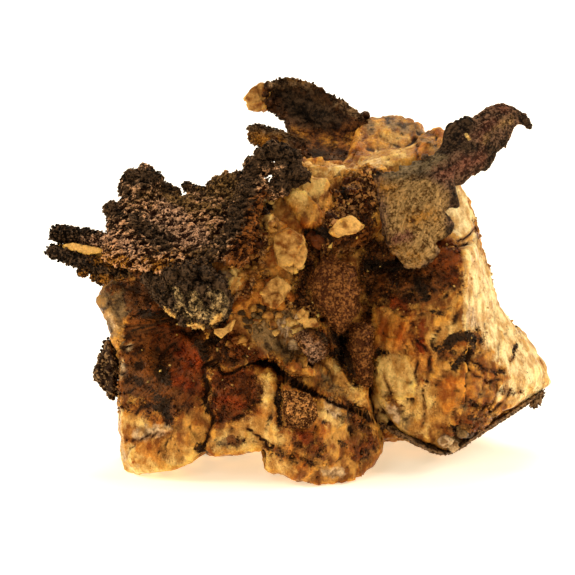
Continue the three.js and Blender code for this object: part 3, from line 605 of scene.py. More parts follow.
# Swellings and hollows of the lump: (height towards the viewer, x reach, z reach, x, z).
SWELLS = [
    (-1.7, 3.4, 3.8, -12.6, 13.6), (-0.9, 2.4, 2, -10.6, 16.4), (0.5, 1.6, 1, -12.4, 7.2),
    (0.7, 1.2, 1.2, -14.6, 17.6), (-0.5, 1.4, 1.2, -17, 13.8), (0.6, 2.2, 1.6, -6.4, 9.2),
    (0.5, 0.8, 1.6, -3, 8.6), (0.6, 1.6, 0.7, 0.2, 11.8), (-0.7, 1.2, 2.2, -1, 14.6),
    (0.7, 0.8, 0.7, -1.9, 15.6), (0.6, 0.8, 0.6, -0.7, 14.6), (0.5, 0.6, 0.7, 2.1, 24),
    (0.5, 0.9, 1, -7.2, 20.6), (0.5, 1, 0.7, -6.2, 18), (-0.7, 1.2, 1, -4.6, 22.6),
    (0.9, 0.5, 0.9, -2.9, 26.2), (0.7, 0.5, 0.6, -3, 28.8), (-1, 2.6, 2.4, 5.6, 27.4),
    (0.6, 0.9, 0.6, 5, 29.4), (0.6, 0.7, 0.6, 6.8, 27.8), (-1.4, 4.6, 1.7, 10.6, 21.6),
    (0.5, 2, 1.2, 14.6, 22.4), (0.5, 1.9, 2, 9.8, 15.4), (0.4, 1.6, 1.4, 14.4, 17),
    (-0.6, 1.4, 1.2, 16.4, 13.4), (0.6, 1.8, 1.2, 15.6, 10.6), (-0.5, 0.7, 0.5, 17.8, 8.2),
    (-0.4, 0.9, 0.4, 16.2, 5.8), (0.5, 2.2, 0.5, 20, 8.8), (0.4, 1.8, 0.4, 18.6, 7),
    (0.5, 1.4, 1, 9.6, 8.6), (0.5, 0.9, 0.7, 2.9, 8.3), (0.4, 1, 0.6, 3.6, 1.9), (-0.7, 0.8, 1.4, 5.2, 5.6),
    (0.5, 0.9, 1.2, 6.9, 4.6), (-1.6, 1, 2.4, 4.2, 13.6), (0.4, 1.4, 0.6, 9.6, 33.4),
    (0.4, 1.2, 0.7, 13.2, 34.4),
]


def crack_fields(place):
    """How deep each place of the face is cut by the cracks, and a depth that follows them, by which the
    material paints shade in and beside them.
    """
    cut = np.zeros(len(place))
    stain = np.full(len(place), -FARTHEST)
    flat = np.column_stack([place, place[:, 0] * 0.0])
    wander = np.stack([fractal(flat, 1.6, 61 + axis) for axis in range(2)], axis=1) * 0.35
    for width, depth, *line in CRACKS:
        inside = mark_depth(place + wander, width, *line)
        cut = np.maximum(cut, depth * smooth_step(-0.18, width, inside))
        stain = np.maximum(stain, inside)
    return cut, stain


def swell_height(place):
    """The sum of the swellings and hollows: height (1 - d^2)^2 within each one's ellipse."""
    total = np.zeros(len(place))
    for height, reach_x, reach_z, x, z in SWELLS:
        distance = ((place[:, 0] - x) / reach_x) ** 2 + ((place[:, 1] - z) / reach_z) ** 2
        total += height * np.clip(1.0 - distance, 0.0, None) ** 2
    return total


# Past the display face a stain is noise: its size, seed, strength and shift.
HIDDEN_STAINS = {
    "orange": (7, 71, 2.2, -1),
    "cream": (9, 75, 2.6, -0.1),
    "pale": (7, 76, 2.4, -0.6),
    "drab": (6, 73, 2.6, -0.6),
    "ember": (5, 77, 1.8, -1.6),
    "gravel": (5, 93, 2, -1.5),
    "rust": (8, 79, 2.6, -0.9),
    "umber": (6, 83, 2.6, -0.8),
    "soot": (4, 87, 1.8, -1),
    "grey": (5, 91, 2, -1),
}
# Ledges of the lump: the direction that they climb, their spacing, seed and height.
LEDGES = (
    ((0.50, 0.50, 0.70), 1.6, 57, 0.17),
    ((0.80, -0.30, -0.52), 2.3, 58, 0.22),
    ((0.90, 0.10, -0.42), 1.1, 62, 0.09),
)


def lump_surface(looks):
    """The lump's skin, moved along its normals by the sum of broken facets, ledges, noise and packed
    grains, and towards the viewer by the swellings less the cracks. Stains turn into wide noise where
    the display face ends. Returns the points, the quads and the per-vertex stain depths."""
    points, quads = skin_of("calcite_matrix", looks.grid, 0.45, 2, evening=2)
    normals = normals_of(points, quads)
    place = sighted(points)
    frontal = smooth_step(-0.12, 0.10, normals @ FRONT)
    depths = {}
    for name, marks in STAINS.items():
        size, seed, strength, shift = HIDDEN_STAINS[name]
        hidden = np.clip(fractal(points, size, seed) * strength + shift, -FARTHEST, FARTHEST)
        depths[name] = stain_depth(place, marks) * frontal + hidden * (1.0 - frontal)
    cut, crack = crack_fields(place)
    depths["crack"] = np.where(frontal > 0.5, crack, -FARTHEST)
    rough = np.maximum.reduce([smooth_step(-0.4, 0.3, depths[name]) for name in ("rust", "umber", "soot")])
    broken = smooth_step(-0.4, 0.3, depths["gravel"])
    calm = 1.0 - 0.65 * smooth_step(-0.4, 0.4, np.maximum(depths["pale"], depths["cream"])) * frontal
    pebbles = grain_heights(points, (0.9, 0.45), 31)
    shape = facets(points, 5.0, 41) * looks.facet_height / METRES + facets(points, 1.8, 45) * 0.24 * calm
    shape += fractal(points, 0.9, 55) * 0.09 + fractal(points, 0.36, 59, 2) * 0.05
    stepped = smooth_step(0.0, 0.3, fractal(points, 6.0, 53))
    for (climb, spacing, seed, height), share in zip(LEDGES, (stepped, 1.0 - stepped, 1.0)):
        shape += (ledges(points, climb, spacing, seed) - 0.5) * height * share * calm**2
    shape += facets(points, 1.0, 47) * looks.gravel_height / METRES * broken
    shape += (pebbles - 0.3) * (0.02 + looks.pebble_height / METRES * rough)
    points = points + normals * shape[:, None]
    forward = swell_height(place) - cut
    points = points + FRONT * (forward * frontal)[:, None]
    points[:, 2] = np.maximum(points[:, 2], 0.0)
    depths["lift"] = pebbles
    depths["hollow"] = hollowness(points, quads, 8)
    depths["dip"] = hollowness(points, quads, 60)
    return points, quads, depths


CRUMB_POINTS = 8  # corners of one crumb
BRIGHT_GRAINS = 0.012  # share of the lump's loose grains that are pale: painted glints on the dark ground


def loose_grains(points, quads, depths, weight, count, sizes, stretch, seed, skew=1.0):
    """Loose grains seated on the lump by weight. Each takes the stains of its seat and its own tone, and
    a skew above 1 makes more of them dark. A share of BRIGHT_GRAINS are turned pale cream as painted
    glints."""
    weight = weight * (points[:, 2] > 1.0)
    normals = normals_of(points, quads)
    made, faces, seats = scatter_crumbs(points, normals, count, sizes, stretch, seed, weight)
    floats = {name: values[seats] for name, values in depths.items()}
    tone = 2.0 * np.random.default_rng(seed + 1).random(count) ** skew - 1.0
    floats["lift"] = np.repeat(tone, CRUMB_POINTS)
    # Painted glints: a few grains are pale cream.
    bright = np.random.default_rng(seed + 2).random(count) < BRIGHT_GRAINS
    bright = np.repeat(bright, CRUMB_POINTS)
    for name in STAINS:
        floats[name] = np.where(bright, IN_MARK if name == "cream" else -FARTHEST, floats[name])
    return made, faces, floats


def lump_grit(points, quads, depths, looks):
    """Fine grit, thickest where the umber, soot and rust are deepest."""
    dark = [smooth_step(-0.5, 0.4, depths[name]) for name in ("umber", "soot", "gravel")]
    ground = np.maximum.reduce([*dark, 0.6 * smooth_step(-0.3, 0.4, depths["rust"])])
    ground = (ground + 0.01) * smooth_step(-0.4, 0.2, normals_of(points, quads) @ FRONT)
    return loose_grains(points, quads, depths, ground, looks.grit_count, (0.12, 0.36), 1.5, 95)


def lump_gravel(points, quads, depths, looks):
    """Broken gravel where the gravel stain lies."""
    facing = smooth_step(0.0, 0.4, normals_of(points, quads) @ FRONT)
    ground = smooth_step(-0.2, 0.4, depths["gravel"]) * facing
    return loose_grains(points, quads, depths, ground, looks.gravel_count, (0.18, 0.55), 1.8, 97, 1.3)


# Patches of broken chips on the lump: (x, z, reach, how many, sizes, stain).
RUBBLE = [
    (-6.7, 20.5, 1.4, 16, (0.35, 0.9), "cream"),
    (-5.4, 22.4, 2.2, 34, (0.25, 0.7), "honey"),
    (-4.6, 24.2, 1.8, 26, (0.25, 0.6), "rust"),
    (-2.6, 26.0, 0.8, 5, (0.35, 0.65), "honey"),
    (-2.8, 28.4, 0.7, 4, (0.4, 0.7), "cream"),
    (0.4, 31.7, 1.0, 8, (0.4, 0.8), "cream"),
    (5.0, 27.4, 3.2, 60, (0.2, 0.55), "gravel"),
    (5.2, 28.6, 2.4, 18, (0.2, 0.45), "honey"),
    (5.4, 27.6, 0.8, 8, (0.2, 0.45), "pale"),
    (-2.6, 19.4, 2.0, 22, (0.4, 1.0), "orange"),
    (-3.2, 18.0, 2.0, 20, (0.35, 0.9), "honey"),
    (0.8, 15.6, 1.5, 14, (0.35, 0.8), "grey"),
    (-1.2, 16.2, 1.6, 12, (0.3, 0.7), "cream"),
    (-4.4, 16.6, 1.8, 20, (0.3, 0.7), "drab"),
    (1.6, 24.2, 1.3, 16, (0.35, 0.8), "rust"),
    (-6.0, 14.6, 1.4, 10, (0.25, 0.6), "honey"),
    (14.8, 4.4, 0.8, 9, (0.45, 0.9), "grey"),
    (16.4, 5.5, 0.8, 8, (0.35, 0.7), "drab"),
]


CHIP_PLANES = 11


def broken_chips(count, seed):
    """Angular chips about a middle: each direction of a ball grid reaches to the nearest of CHIP_PLANES
    random planes. Returns count by vertices by three places, and one chip's quads."""
    draw = np.random.default_rng(seed)
    directions, quads = ball_grid(3)
    planes = draw.normal(size=(count, CHIP_PLANES, 3)) * (1.0, 1.0, 1.4)
    planes /= np.linalg.norm(planes, axis=2, keepdims=True)
    away = draw.uniform(0.5, 1.0, (count, CHIP_PLANES, 1))
    cut = away / np.clip(planes @ directions.T, 0.08, None)
    return directions * np.minimum(cut.min(axis=1), 1.4)[..., None], quads


def lump_rubble(points, quads, depths):
    """Broken chips, half sunk in the lump, thrown about the places in RUBBLE. Each keeps one stain."""
    place = sighted(points)
    normals = normals_of(points, quads)
    facing = smooth_step(0.2, 0.5, normals @ FRONT)
    draw = np.random.default_rng(99)
    total = sum(row[3] for row in RUBBLE)
    shapes, chip = broken_chips(total, 98)
    seats, sizes, stains = [], [], []
    for x, z, reach, count, (low, high), stain in RUBBLE:
        distance = np.hypot(place[:, 0] - x, place[:, 1] - z)
        weight = facing * np.clip(1.0 - distance / reach, 0.0, None)
        seats.append(draw.choice(len(points), count, p=weight / weight.sum()))
        sizes.append(low + (high - low) * draw.random(count) ** 1.5)
        stains.extend([stain] * count)
    seats, sizes = np.concatenate(seats), np.concatenate(sizes)
    made = points[seats][:, None] + shapes * sizes[:, None, None] * 0.85
    made = made + (normals[seats] * (sizes * 0.12)[:, None])[:, None]
    each = shapes.shape[1]
    numbers = np.arange(total)[:, None, None] * each + chip[None]
    floats = {}
    for name in STAINS:
        floats[name] = np.repeat(np.where(np.array(stains) == name, IN_MARK, -FARTHEST), each)
    floats["crack"] = np.full(total * each, -FARTHEST)
    floats["lift"] = np.repeat(draw.uniform(-1.0, 1.0, total), each)
    floats["hollow"] = np.zeros(total * each)
    floats["dip"] = np.repeat(np.clip(depths["dip"][seats], 0.0, 0.3), each)
    return made.reshape(-1, 3), numbers.reshape(-1, 4), floats


# ---- Silver. A leaf has three rails, near, middle and far. A rail is x, y and z on the face for each of
# its points in turn.

LEAVES = {
    "dish": [
        (-19.4, -10.5, 22.8, -17.8, -12, 21.9, -14.8, -13, 21.5, -11.3, -13.4, 21.3, -8.6, -12.8, 22.2,
         -6.6, -11, 24.4),
        (-18.9, -9, 25.2, -17.3, -9.2, 26.2, -14.8, -9.3, 26.2, -11.3, -9.6, 25.9, -8.8, -9.4, 26.5, -6,
         -8.6, 27.7),
        (-18.8, -6.6, 27.2, -17.4, -5.6, 28.8, -15.6, -4.5, 30.6, -13, -5, 29.2, -9.6, -5.4, 29.4, -7.2, -5,
         30.4, -4.8, -5, 30.9),
    ],
    "rim": [
        (-8.2, -12.4, 22.4, -7.1, -10.4, 25.4, -6.5, -8.4, 28.4, -5.6, -6.2, 31),
        (-6.8, -13, 22.2, -5.6, -11.2, 25.4, -5, -9.4, 28.4, -4.2, -7.6, 31.2),
        (-5.4, -12.2, 21.8, -4.3, -10.6, 25, -3.6, -9, 28, -2.8, -7.6, 30.6),
    ],
    "horn": [
        (-17.4, -6.4, 28.8, -17.2, -5.4, 30.2, -16.6, -4.6, 31.3),
        (-16, -6.8, 29, -15.9, -5.6, 30.5, -15.5, -4.6, 31.7),
        (-14.6, -6.6, 29.2, -14.4, -5.6, 30.2, -14.4, -4.8, 31.2),
    ],
    "upper lip": [
        (-24.8, -6.5, 24.8, -22.6, -7.2, 24.5, -20.6, -8.2, 24.2, -18.6, -9.4, 23.9),
        (-24.6, -6, 25.4, -22.6, -6.6, 25.1, -20.6, -7.6, 24.8, -18.6, -8.8, 24.5),
        (-24.4, -5.4, 25.9, -22.4, -5.8, 25.7, -20.6, -6.8, 25.4, -18.6, -8.2, 25.1),
    ],
    "lower lip": [
        (-25.1, -7.2, 23.2, -22.6, -8.2, 22.2, -20.4, -9.4, 21.4, -18.4, -10.6, 21.2),
        (-25, -7, 23.8, -22.6, -8, 22.9, -20.4, -9.2, 22.2, -18.4, -10.4, 21.9),
        (-24.8, -6.6, 24.2, -22.4, -7.4, 23.5, -20.4, -8.6, 22.9, -18.4, -9.8, 22.6),
    ],
    "wing": [
        (10.6, -7.8, 21.9, 11.9, -7.7, 21.6, 13.3, -7.4, 22.2, 14.5, -7, 23.2, 13.8, -6.8, 24.1, 16.1, -6.2,
         25.8, 14.2, -6.1, 26.7, 16.1, -5.3, 28, 14.4, -5.3, 29.1, 16.3, -4.7, 29.9, 17.5, -4.1, 30.7, 19,
         -3.4, 31.3, 19.7, -2.8, 32.8, 20.8, -2.1, 33.8, 21.2, -1.5, 35.3, 21.9, -1, 36.2, 23.3, -0.4,
         35.9),
        (9.2, -8, 23.2, 10.6, -8, 24.6, 11.6, -7.4, 27, 13.4, -6.4, 29.8, 15.4, -5, 32.4, 17.8, -3.6, 34.4,
         19.8, -2.4, 36.2, 21.4, -1.4, 37, 23.2, -0.4, 36.2),
        (8.5, -7, 24.6, 8.2, -6.8, 26.4, 7.8, -6.4, 28.2, 7.5, -6, 30, 7.3, -5.6, 31.9, 9.4, -5.2, 32.3,
         11.2, -4.8, 32.6, 12.9, -4.4, 33.1, 13.9, -4, 34.2, 14.6, -3.7, 36.3, 16.1, -3.3, 37.4, 16.9, -3,
         36.8, 18.2, -2.4, 37.7, 19.9, -1.9, 38.4, 21.2, -1.4, 38.1, 22.4, -0.9, 37.4, 23.5, -0.4, 36.5),
    ],
    "back plate": [
        (-3, 8.2, 38, -1.5, 7.6, 36.9, -0.6, 5.4, 34.6, 1, 3.4, 32.6, 4.4, 2.6, 31.6),
        (-3.2, 9.4, 39.2, -1.2, 9.8, 38.6, 1.2, 9.2, 36.8, 3.4, 8, 35.2, 6.6, 6.4, 34.4),
        (-3, 9.2, 40.4, -1.2, 9, 41.2, 1.5, 8.6, 40.5, 4.5, 8, 38.9, 7, 7.2, 36.8),
    ],
    "back flake": [
        (-4.9, 2.6, 34.6, -3.6, 2.4, 33.8, -1.8, 2.4, 33.2, 0.6, 2, 32),
        (-5, 3, 35.4, -3.6, 3.2, 35.2, -1.6, 3.2, 34.6, 0.8, 2.8, 33.4),
        (-5.1, 3.2, 36, -3.6, 3.4, 36.4, -1.6, 3.6, 35.6, 1, 3.4, 34.6),
    ],
    "centre": [
        (0.6, -9, 20.6, 1.5, -9.6, 18.2, 2.8, -9.6, 16.4, 4.2, -9.2, 14.8),
        (1.6, -9, 22.4, 3.4, -10, 20.2, 4.2, -10, 18, 4.8, -9.3, 15.6),
        (2.8, -8.2, 23.2, 5.2, -8.8, 22.6, 6.4, -8.8, 20.2, 5.8, -8.8, 16.8),
    ],
    "lower": [
        (4.9, -8.6, 16.6, 4.8, -8.9, 14.4, 5.4, -9, 12.4, 6.6, -8.8, 10),
        (6.2, -9, 16.7, 6.3, -9.4, 14.4, 6.4, -9.4, 12.2, 6.9, -8.9, 10),
        (7.6, -8.2, 16.6, 7.5, -8.4, 14.4, 7.4, -8.6, 12.2, 7.2, -8.6, 10),
    ],
    "purple shard": [
        (-0.5, -9.5, 15.2, 0.4, -9.8, 13.8, 1.4, -9.8, 12.2),
        (0.3, -9.7, 15.6, 1.4, -10, 14.4, 2.2, -9.8, 12.6),
        (1.4, -9.3, 15.4, 2.8, -9.6, 15.2, 3.2, -9.5, 13.4),
    ],
    "front patch": [
        (-1.6, -11, 9.8, -1.5, -11.3, 8, -1.2, -11.4, 6),
        (-0.1, -11.2, 9.6, 0.1, -11.8, 7.8, 0, -11.8, 5.8),
        (1.1, -10.6, 9.2, 2, -11.2, 7.8, 1.2, -11.4, 6),
    ],
    "under sheet": [
        (8.1, -4.6, 6.4, 10.6, -5.4, 5.25, 14.7, -5.2, 3.5, 18.4, -2.4, 5.65, 22, 0.4, 7.9, 24.8, 2.6, 9.8),
        (8.1, -1, 6.2, 10.6, -1.2, 5.15, 14.5, -1, 3.6, 18.2, 0.6, 5.55, 21.6, 2.4, 7.7, 24.6, 4.4, 9.6),
        (8.1, 2.4, 6, 10.6, 2.8, 5.05, 14.4, 3, 3.8, 18, 3.6, 5.45, 21.4, 4.6, 7.6, 24.4, 6.2, 9.4),
    ],
}


def grain_heights(points, sizes, seed):
    """Packed grains of several sizes, each 0.62 as strong as the one before: from -1 in the pits to
    1 on the tops."""
    lift = np.zeros(len(points))
    total = 0.0
    for index, size in enumerate(sizes):
        share = 0.62**index
        lift += grains(points, size, seed + 7 * index) * share
        total += share
    return lift / total


def crusted(points, quads, sizes, height, seed):
    """A surface with packed grains raised along its normals: the points, the quads and how high each
    point lies in its grains."""
    lift = grain_heights(points, sizes, seed)
    return points + normals_of(points, quads) * (height * lift)[:, None], quads, lift


def laid_along(shape, normals, flow, draw):
    """Crumbs turned so that their long side follows a flow direction in the surface, within a random
    swing about the normal and a random tilt of the normal itself."""
    tilted = unit(normals + draw.normal(0.0, 0.35, normals.shape))
    along = unit(flow - tilted * (tilted @ flow)[:, None])
    across = np.cross(tilted, along)
    swing = draw.normal(0.0, 0.6, (len(normals), 1))
    first = along * np.cos(swing) + across * np.sin(swing)
    sides = np.stack([first, np.cross(tilted, first), tilted], axis=1)
    return np.einsum("nck,nkj->ncj", shape, sides)


def scatter_crumbs(points, normals, count, sizes, stretch, seed, weight=None, flow=None):
    """Many small angular crumbs seated on a surface. Each is a cube whose eight corners are pushed in
    or out at random, drawn out along one side by stretch, turned by a random unit quaternion or laid
    along a flow direction, and sunk a little. Returns the points, the quads and each crumb point's
    seat number."""
    draw = np.random.default_rng(seed)
    share = None if weight is None else weight / weight.sum()
    seats = draw.choice(len(points), count, p=share)
    size = sizes[0] + (sizes[1] - sizes[0]) * draw.random(count) ** 2
    corner, quads = ball_grid(1)
    shape = corner[None] * (0.7 + 0.6 * draw.random((count, len(corner), 1)))
    shape[..., 0] *= 1.0 + (stretch - 1.0) * draw.random((count, 1))
    if flow is None:
        turn = unit(draw.normal(size=(count, 4)))
        axis = np.broadcast_to(turn[:, None, 1:], shape.shape)
        cross = np.cross(axis, shape)
        shape = shape + 2.0 * turn[:, :1, None] * cross + 2.0 * np.cross(axis, cross)
    else:
        shape = laid_along(shape, normals[seats], flow, draw)
    seat = points[seats] + normals[seats] * (size * 0.3)[:, None]
    made = seat[:, None] + shape * size[:, None, None] / 2.0
    numbers = np.arange(count)[:, None, None] * len(corner) + quads[None]
    return made.reshape(-1, 3), numbers.reshape(-1, 4), np.repeat(seats, len(corner))


def drawn_out(points, flow, ratio):
    """Points squeezed along a unit direction, so that what is laid on them comes out ratio times as
    long that way."""
    return points - np.outer(points @ flow, flow) * (1.0 - 1.0 / ratio)


def with_crumbs(shell, count, sizes, stretch, seed, rim=None):
    """A crusted shell joined with crumbs that stand on its grains' tops, or along its rim if the
    distances to the rim are given."""
    points, quads, lift = shell
    weight = np.clip(lift + 0.9, 0.05, None)
    if rim is not None:
        weight = weight * (0.12 + np.exp(-rim / 0.5))
    normals = normals_of(points, quads)
    made, faces, _ = scatter_crumbs(points, normals, count, sizes, stretch, seed, weight)
    fleck = np.random.default_rng(seed + 1).uniform(-0.3, 0.9, count)
    return joined([shell, (made, faces, np.repeat(fleck, CRUMB_POINTS))])


def round_lumps(balls, count, sizes, height, seed):
    """Round lumps with a grainy crust. A ball is (x, y, z, radius) on the face, with its surface pushed
    in and out by noise before the grains are raised."""
    shells = []
    directions, quads = ball_grid(count)
    for index, (x, y, z, radius) in enumerate(balls):
        points = stand([[x, y, z]]) + directions * radius
        points = points + directions * (fractal(points, radius * 1.1, seed + index) * radius * 0.45)[:, None]
        shells.append(crusted(points, quads, sizes, height, seed + index))
    return joined(shells)


def crusted_leaf(name, thickness, step, bite, sizes, height, seed):
    """One leaf of silver with its grains raised: the crusted shell and the distances to its rim."""
    points, quads, _, rim = leaf_shell(LEAVES[name], thickness, step, bite, seed)
    return crusted(points, quads, sizes, height, seed), rim


def marks_of(points, marks):
    """The depth of every point in each named group of marks, seen along the viewer's lines."""
    place = sighted(points)
    return {name: stain_depth(place, group) for name, group in marks.items()}


def hollowness(points, quads, passes):
    """How far each point lies below its own surroundings, in millimetres: the way from the point to
    its softened place, measured along the outward normal."""
    normals = normals_of(points, quads)
    return np.einsum("ij,ij->i", soften_points(points, quads, passes) - points, normals)


# ---- Materials.


def linear(colour):
    """An 0 to 255 display colour as linear light with full opacity."""
    value = np.asarray(colour, float) / 255.0
    value = np.where(value <= 0.04045, value / 12.92, ((value + 0.055) / 1.055) ** 2.4)
    return (*(float(channel) for channel in value), 1.0)


EVEN = (1.0, 1.0, 1.0)  # patches not drawn out
STREAKY = (1.25, 1.1, 0.7)  # patches drawn out down the face


class Recipe:
    """Short calls for the nodes of one material. Sizes are in millimetres on Object coordinates."""

    def __init__(self, name):
        self.material = bpy.data.materials.new(name)
        self.material.use_nodes = True
        self.tree = self.material.node_tree
        self.shader = self.tree.nodes["Principled BSDF"]
        self.place = self.node("ShaderNodeTexCoord", {}).outputs["Object"]
        self.coarse = self.times(self.noise(1.3, 3, 4.0), 4.0, -2.0)
        self.fine = self.times(self.noise(0.24, 5, 4.0), 4.0, -2.0)
        self.sand = self.times(self.packed(0.17, self.shifted(7), "Red"), 0.6, -0.5)
        self.sand = self.times(self.packed(0.34, self.shifted(9), "Red"), 0.4, self.sand)

    def node(self, kind, inputs, **settings):
        """Adds a node, makes its settings, and links or sets each input that is named or numbered."""
        made = self.tree.nodes.new(kind)
        for name, value in settings.items():
            setattr(made, name, value)
        for socket, value in inputs.items():
            self.feed(made.inputs[socket], value)
        return made

    def feed(self, socket, value):
        """Links a socket to another node's output, or sets it to a plain value."""
        if isinstance(value, bpy.types.NodeSocket):
            self.tree.links.new(value, socket)
        else:
            socket.default_value = value

    def shifted(self, seed, stretch=EVEN):
        """Object coordinates moved off by a seed and drawn out."""
        offset = (0.0137 * seed, -0.0071 * seed, 0.0093 * seed)
        inputs = {"Vector": self.place, "Location": offset, "Scale": stretch}
        return self.node("ShaderNodeMapping", inputs).outputs[0]

    def noise(self, size, seed=0, detail=3.0, stretch=EVEN, place=None, rough=0.7):
        """Cloudy noise, from about 0.2 to 0.8, with features of the given size."""
        where = place if place is not None else self.shifted(seed, stretch)
        inputs = {"Vector": where, "Scale": 1.0 / (size * METRES), "Detail": detail, "Roughness": rough}
        return self.node("ShaderNodeTexNoise", inputs).outputs["Fac"]

    def packed(self, size, where, channel):
        """A random number from 0 to 1 for each of many packed cells of the given size."""
        inputs = {"Vector": where, "Scale": 1.0 / (size * METRES)}
        colour = self.node("ShaderNodeTexVoronoi", inputs).outputs["Color"]
        return self.node("ShaderNodeSeparateColor", {"Color": colour}).outputs[channel]

    def broken(self, size, seed):
        """A random number from 0 to 1 for each cell of the given size, with crooked crisp borders."""
        inputs = {"Vector": self.place, "Scale": 1.4 / (size * METRES), "Detail": 4.0}
        push = self.node("ShaderNodeTexNoise", inputs).outputs["Color"]
        inputs = {0: push, 1: (0.9 * size * METRES,) * 3, 2: self.shifted(seed)}
        moved = self.node("ShaderNodeVectorMath", inputs, operation="MULTIPLY_ADD").outputs[0]
        return self.packed(size, moved, "Green")

    def veins(self, size, seed, width, stretch):
        """Thin winding lines: 1 where a noise crosses its middle value, and 0 away from there."""
        away = self.calc("SUBTRACT", self.noise(size, seed, 5.0, stretch), 0.5)
        return self.step(self.calc("ABSOLUTE", away), 0.0, width, 1.0, 0.0)

    def attribute(self, name):
        """A number that the mesh holds for each vertex."""
        return self.node("ShaderNodeAttribute", {}, attribute_name=name).outputs["Fac"]

    def calc(self, operation, first, second=0.0, third=0.0):
        """One arithmetic operation on up to three numbers, worked out at each place."""
        inputs = {0: first, 1: second, 2: third}
        return self.node("ShaderNodeMath", inputs, operation=operation).outputs[0]

    def times(self, value, factor, rest):
        """A value times a factor, with the rest added."""
        return self.calc("MULTIPLY_ADD", value, factor, rest)

    def step(self, value, low, high, to_low=0.0, to_high=1.0):
        """A smooth rise from to_low to to_high as value goes from low to high."""
        inputs = {"Value": value, "From Min": low, "From Max": high, "To Min": to_low, "To Max": to_high}
        return self.node("ShaderNodeMapRange", inputs, interpolation_type="SMOOTHSTEP").outputs[0]

    def blend(self, share, first, second, mode="MIX"):
        """Two colours mixed."""
        made = self.node("ShaderNodeMix", {}, data_type="RGBA", blend_type=mode)
        for socket, value in ((0, share), (6, first), (7, second)):
            self.feed(made.inputs[socket], value)
        return made.outputs[2]

    def mask(self, layer):
        """Where a mark's depth is above zero, pushed about by coarse and by fine noise."""
        depth = self.times(self.coarse, layer.wander, self.attribute(layer.mark))
        depth = self.times(self.fine, layer.speckle, depth)
        return self.step(depth, -layer.soft, layer.soft)

    def layered(self, ground, layers):
        """A ground colour with stains laid over it in order. A colour wanders between its deep and
        light shades by noise in patches, and by how high the place lies in its grains, which paints shade
        in the pits and highlight on the tops."""
        lift = self.attribute("lift")
        colour = None
        for seed, layer in enumerate((ground, *layers)):
            cloud = self.noise(layer.patch, 11 + seed, 5.0, layer.drawn, rough=layer.rough)
            tone = self.times(lift, layer.grainy, cloud)
            tone = self.times(self.sand, layer.sandy, tone)
            middle = 0.51 + 1.5 * layer.lean
            share = self.step(tone, middle - layer.blur, middle + layer.blur)
            shade = self.blend(share, *layer.shades())
            colour = shade if colour is None else self.blend(self.mask(layer), colour, shade)
        return colour

    def bump(self, height, depth):
        """A surface whose light bends as if height stood depth millimetres tall."""
        return self.node("ShaderNodeBump", {"Height": height, "Distance": depth * METRES}).outputs[0]

    def finish(self, sockets):
        """Sets or links the shader's own sockets, and hands over the material."""
        for name, value in sockets.items():
            self.feed(self.shader.inputs[name], value)
        return self.material


@dataclasses.dataclass
class Layer:
    """One stain: the mark it lies on, its deep and light shades, the size of its patches, how soft its
    edge is, how far the edge wanders and is broken into specks, how much the grains' height and the
    sand's own shades count in its tone, how far it leans to its deep shade, how much its patches are
    squeezed along each axis, how gently its shades meet and how rough its patches are."""

    looks: object
    mark: str
    patch: float
    soft: float = 0.2
    wander: float = 0.5
    speckle: float = 0.3
    grainy: float = 0.0
    sandy: float = 0.0
    lean: float = 0.0
    drawn: tuple = EVEN
    blur: float = 0.17
    rough: float = 0.7

    def shades(self):
        """The deep and the light colour."""
        return [tuple(getattr(self.looks, self.mark + ending)) for ending in ("_deep", "_light")]


def stone_shades(looks, mark, patch, *tuning, **more):
    """A stain on stone, whose shades lie in smooth patches with crisp borders."""
    return Layer(looks, mark, patch, *tuning, blur=0.13, rough=0.54, **more)


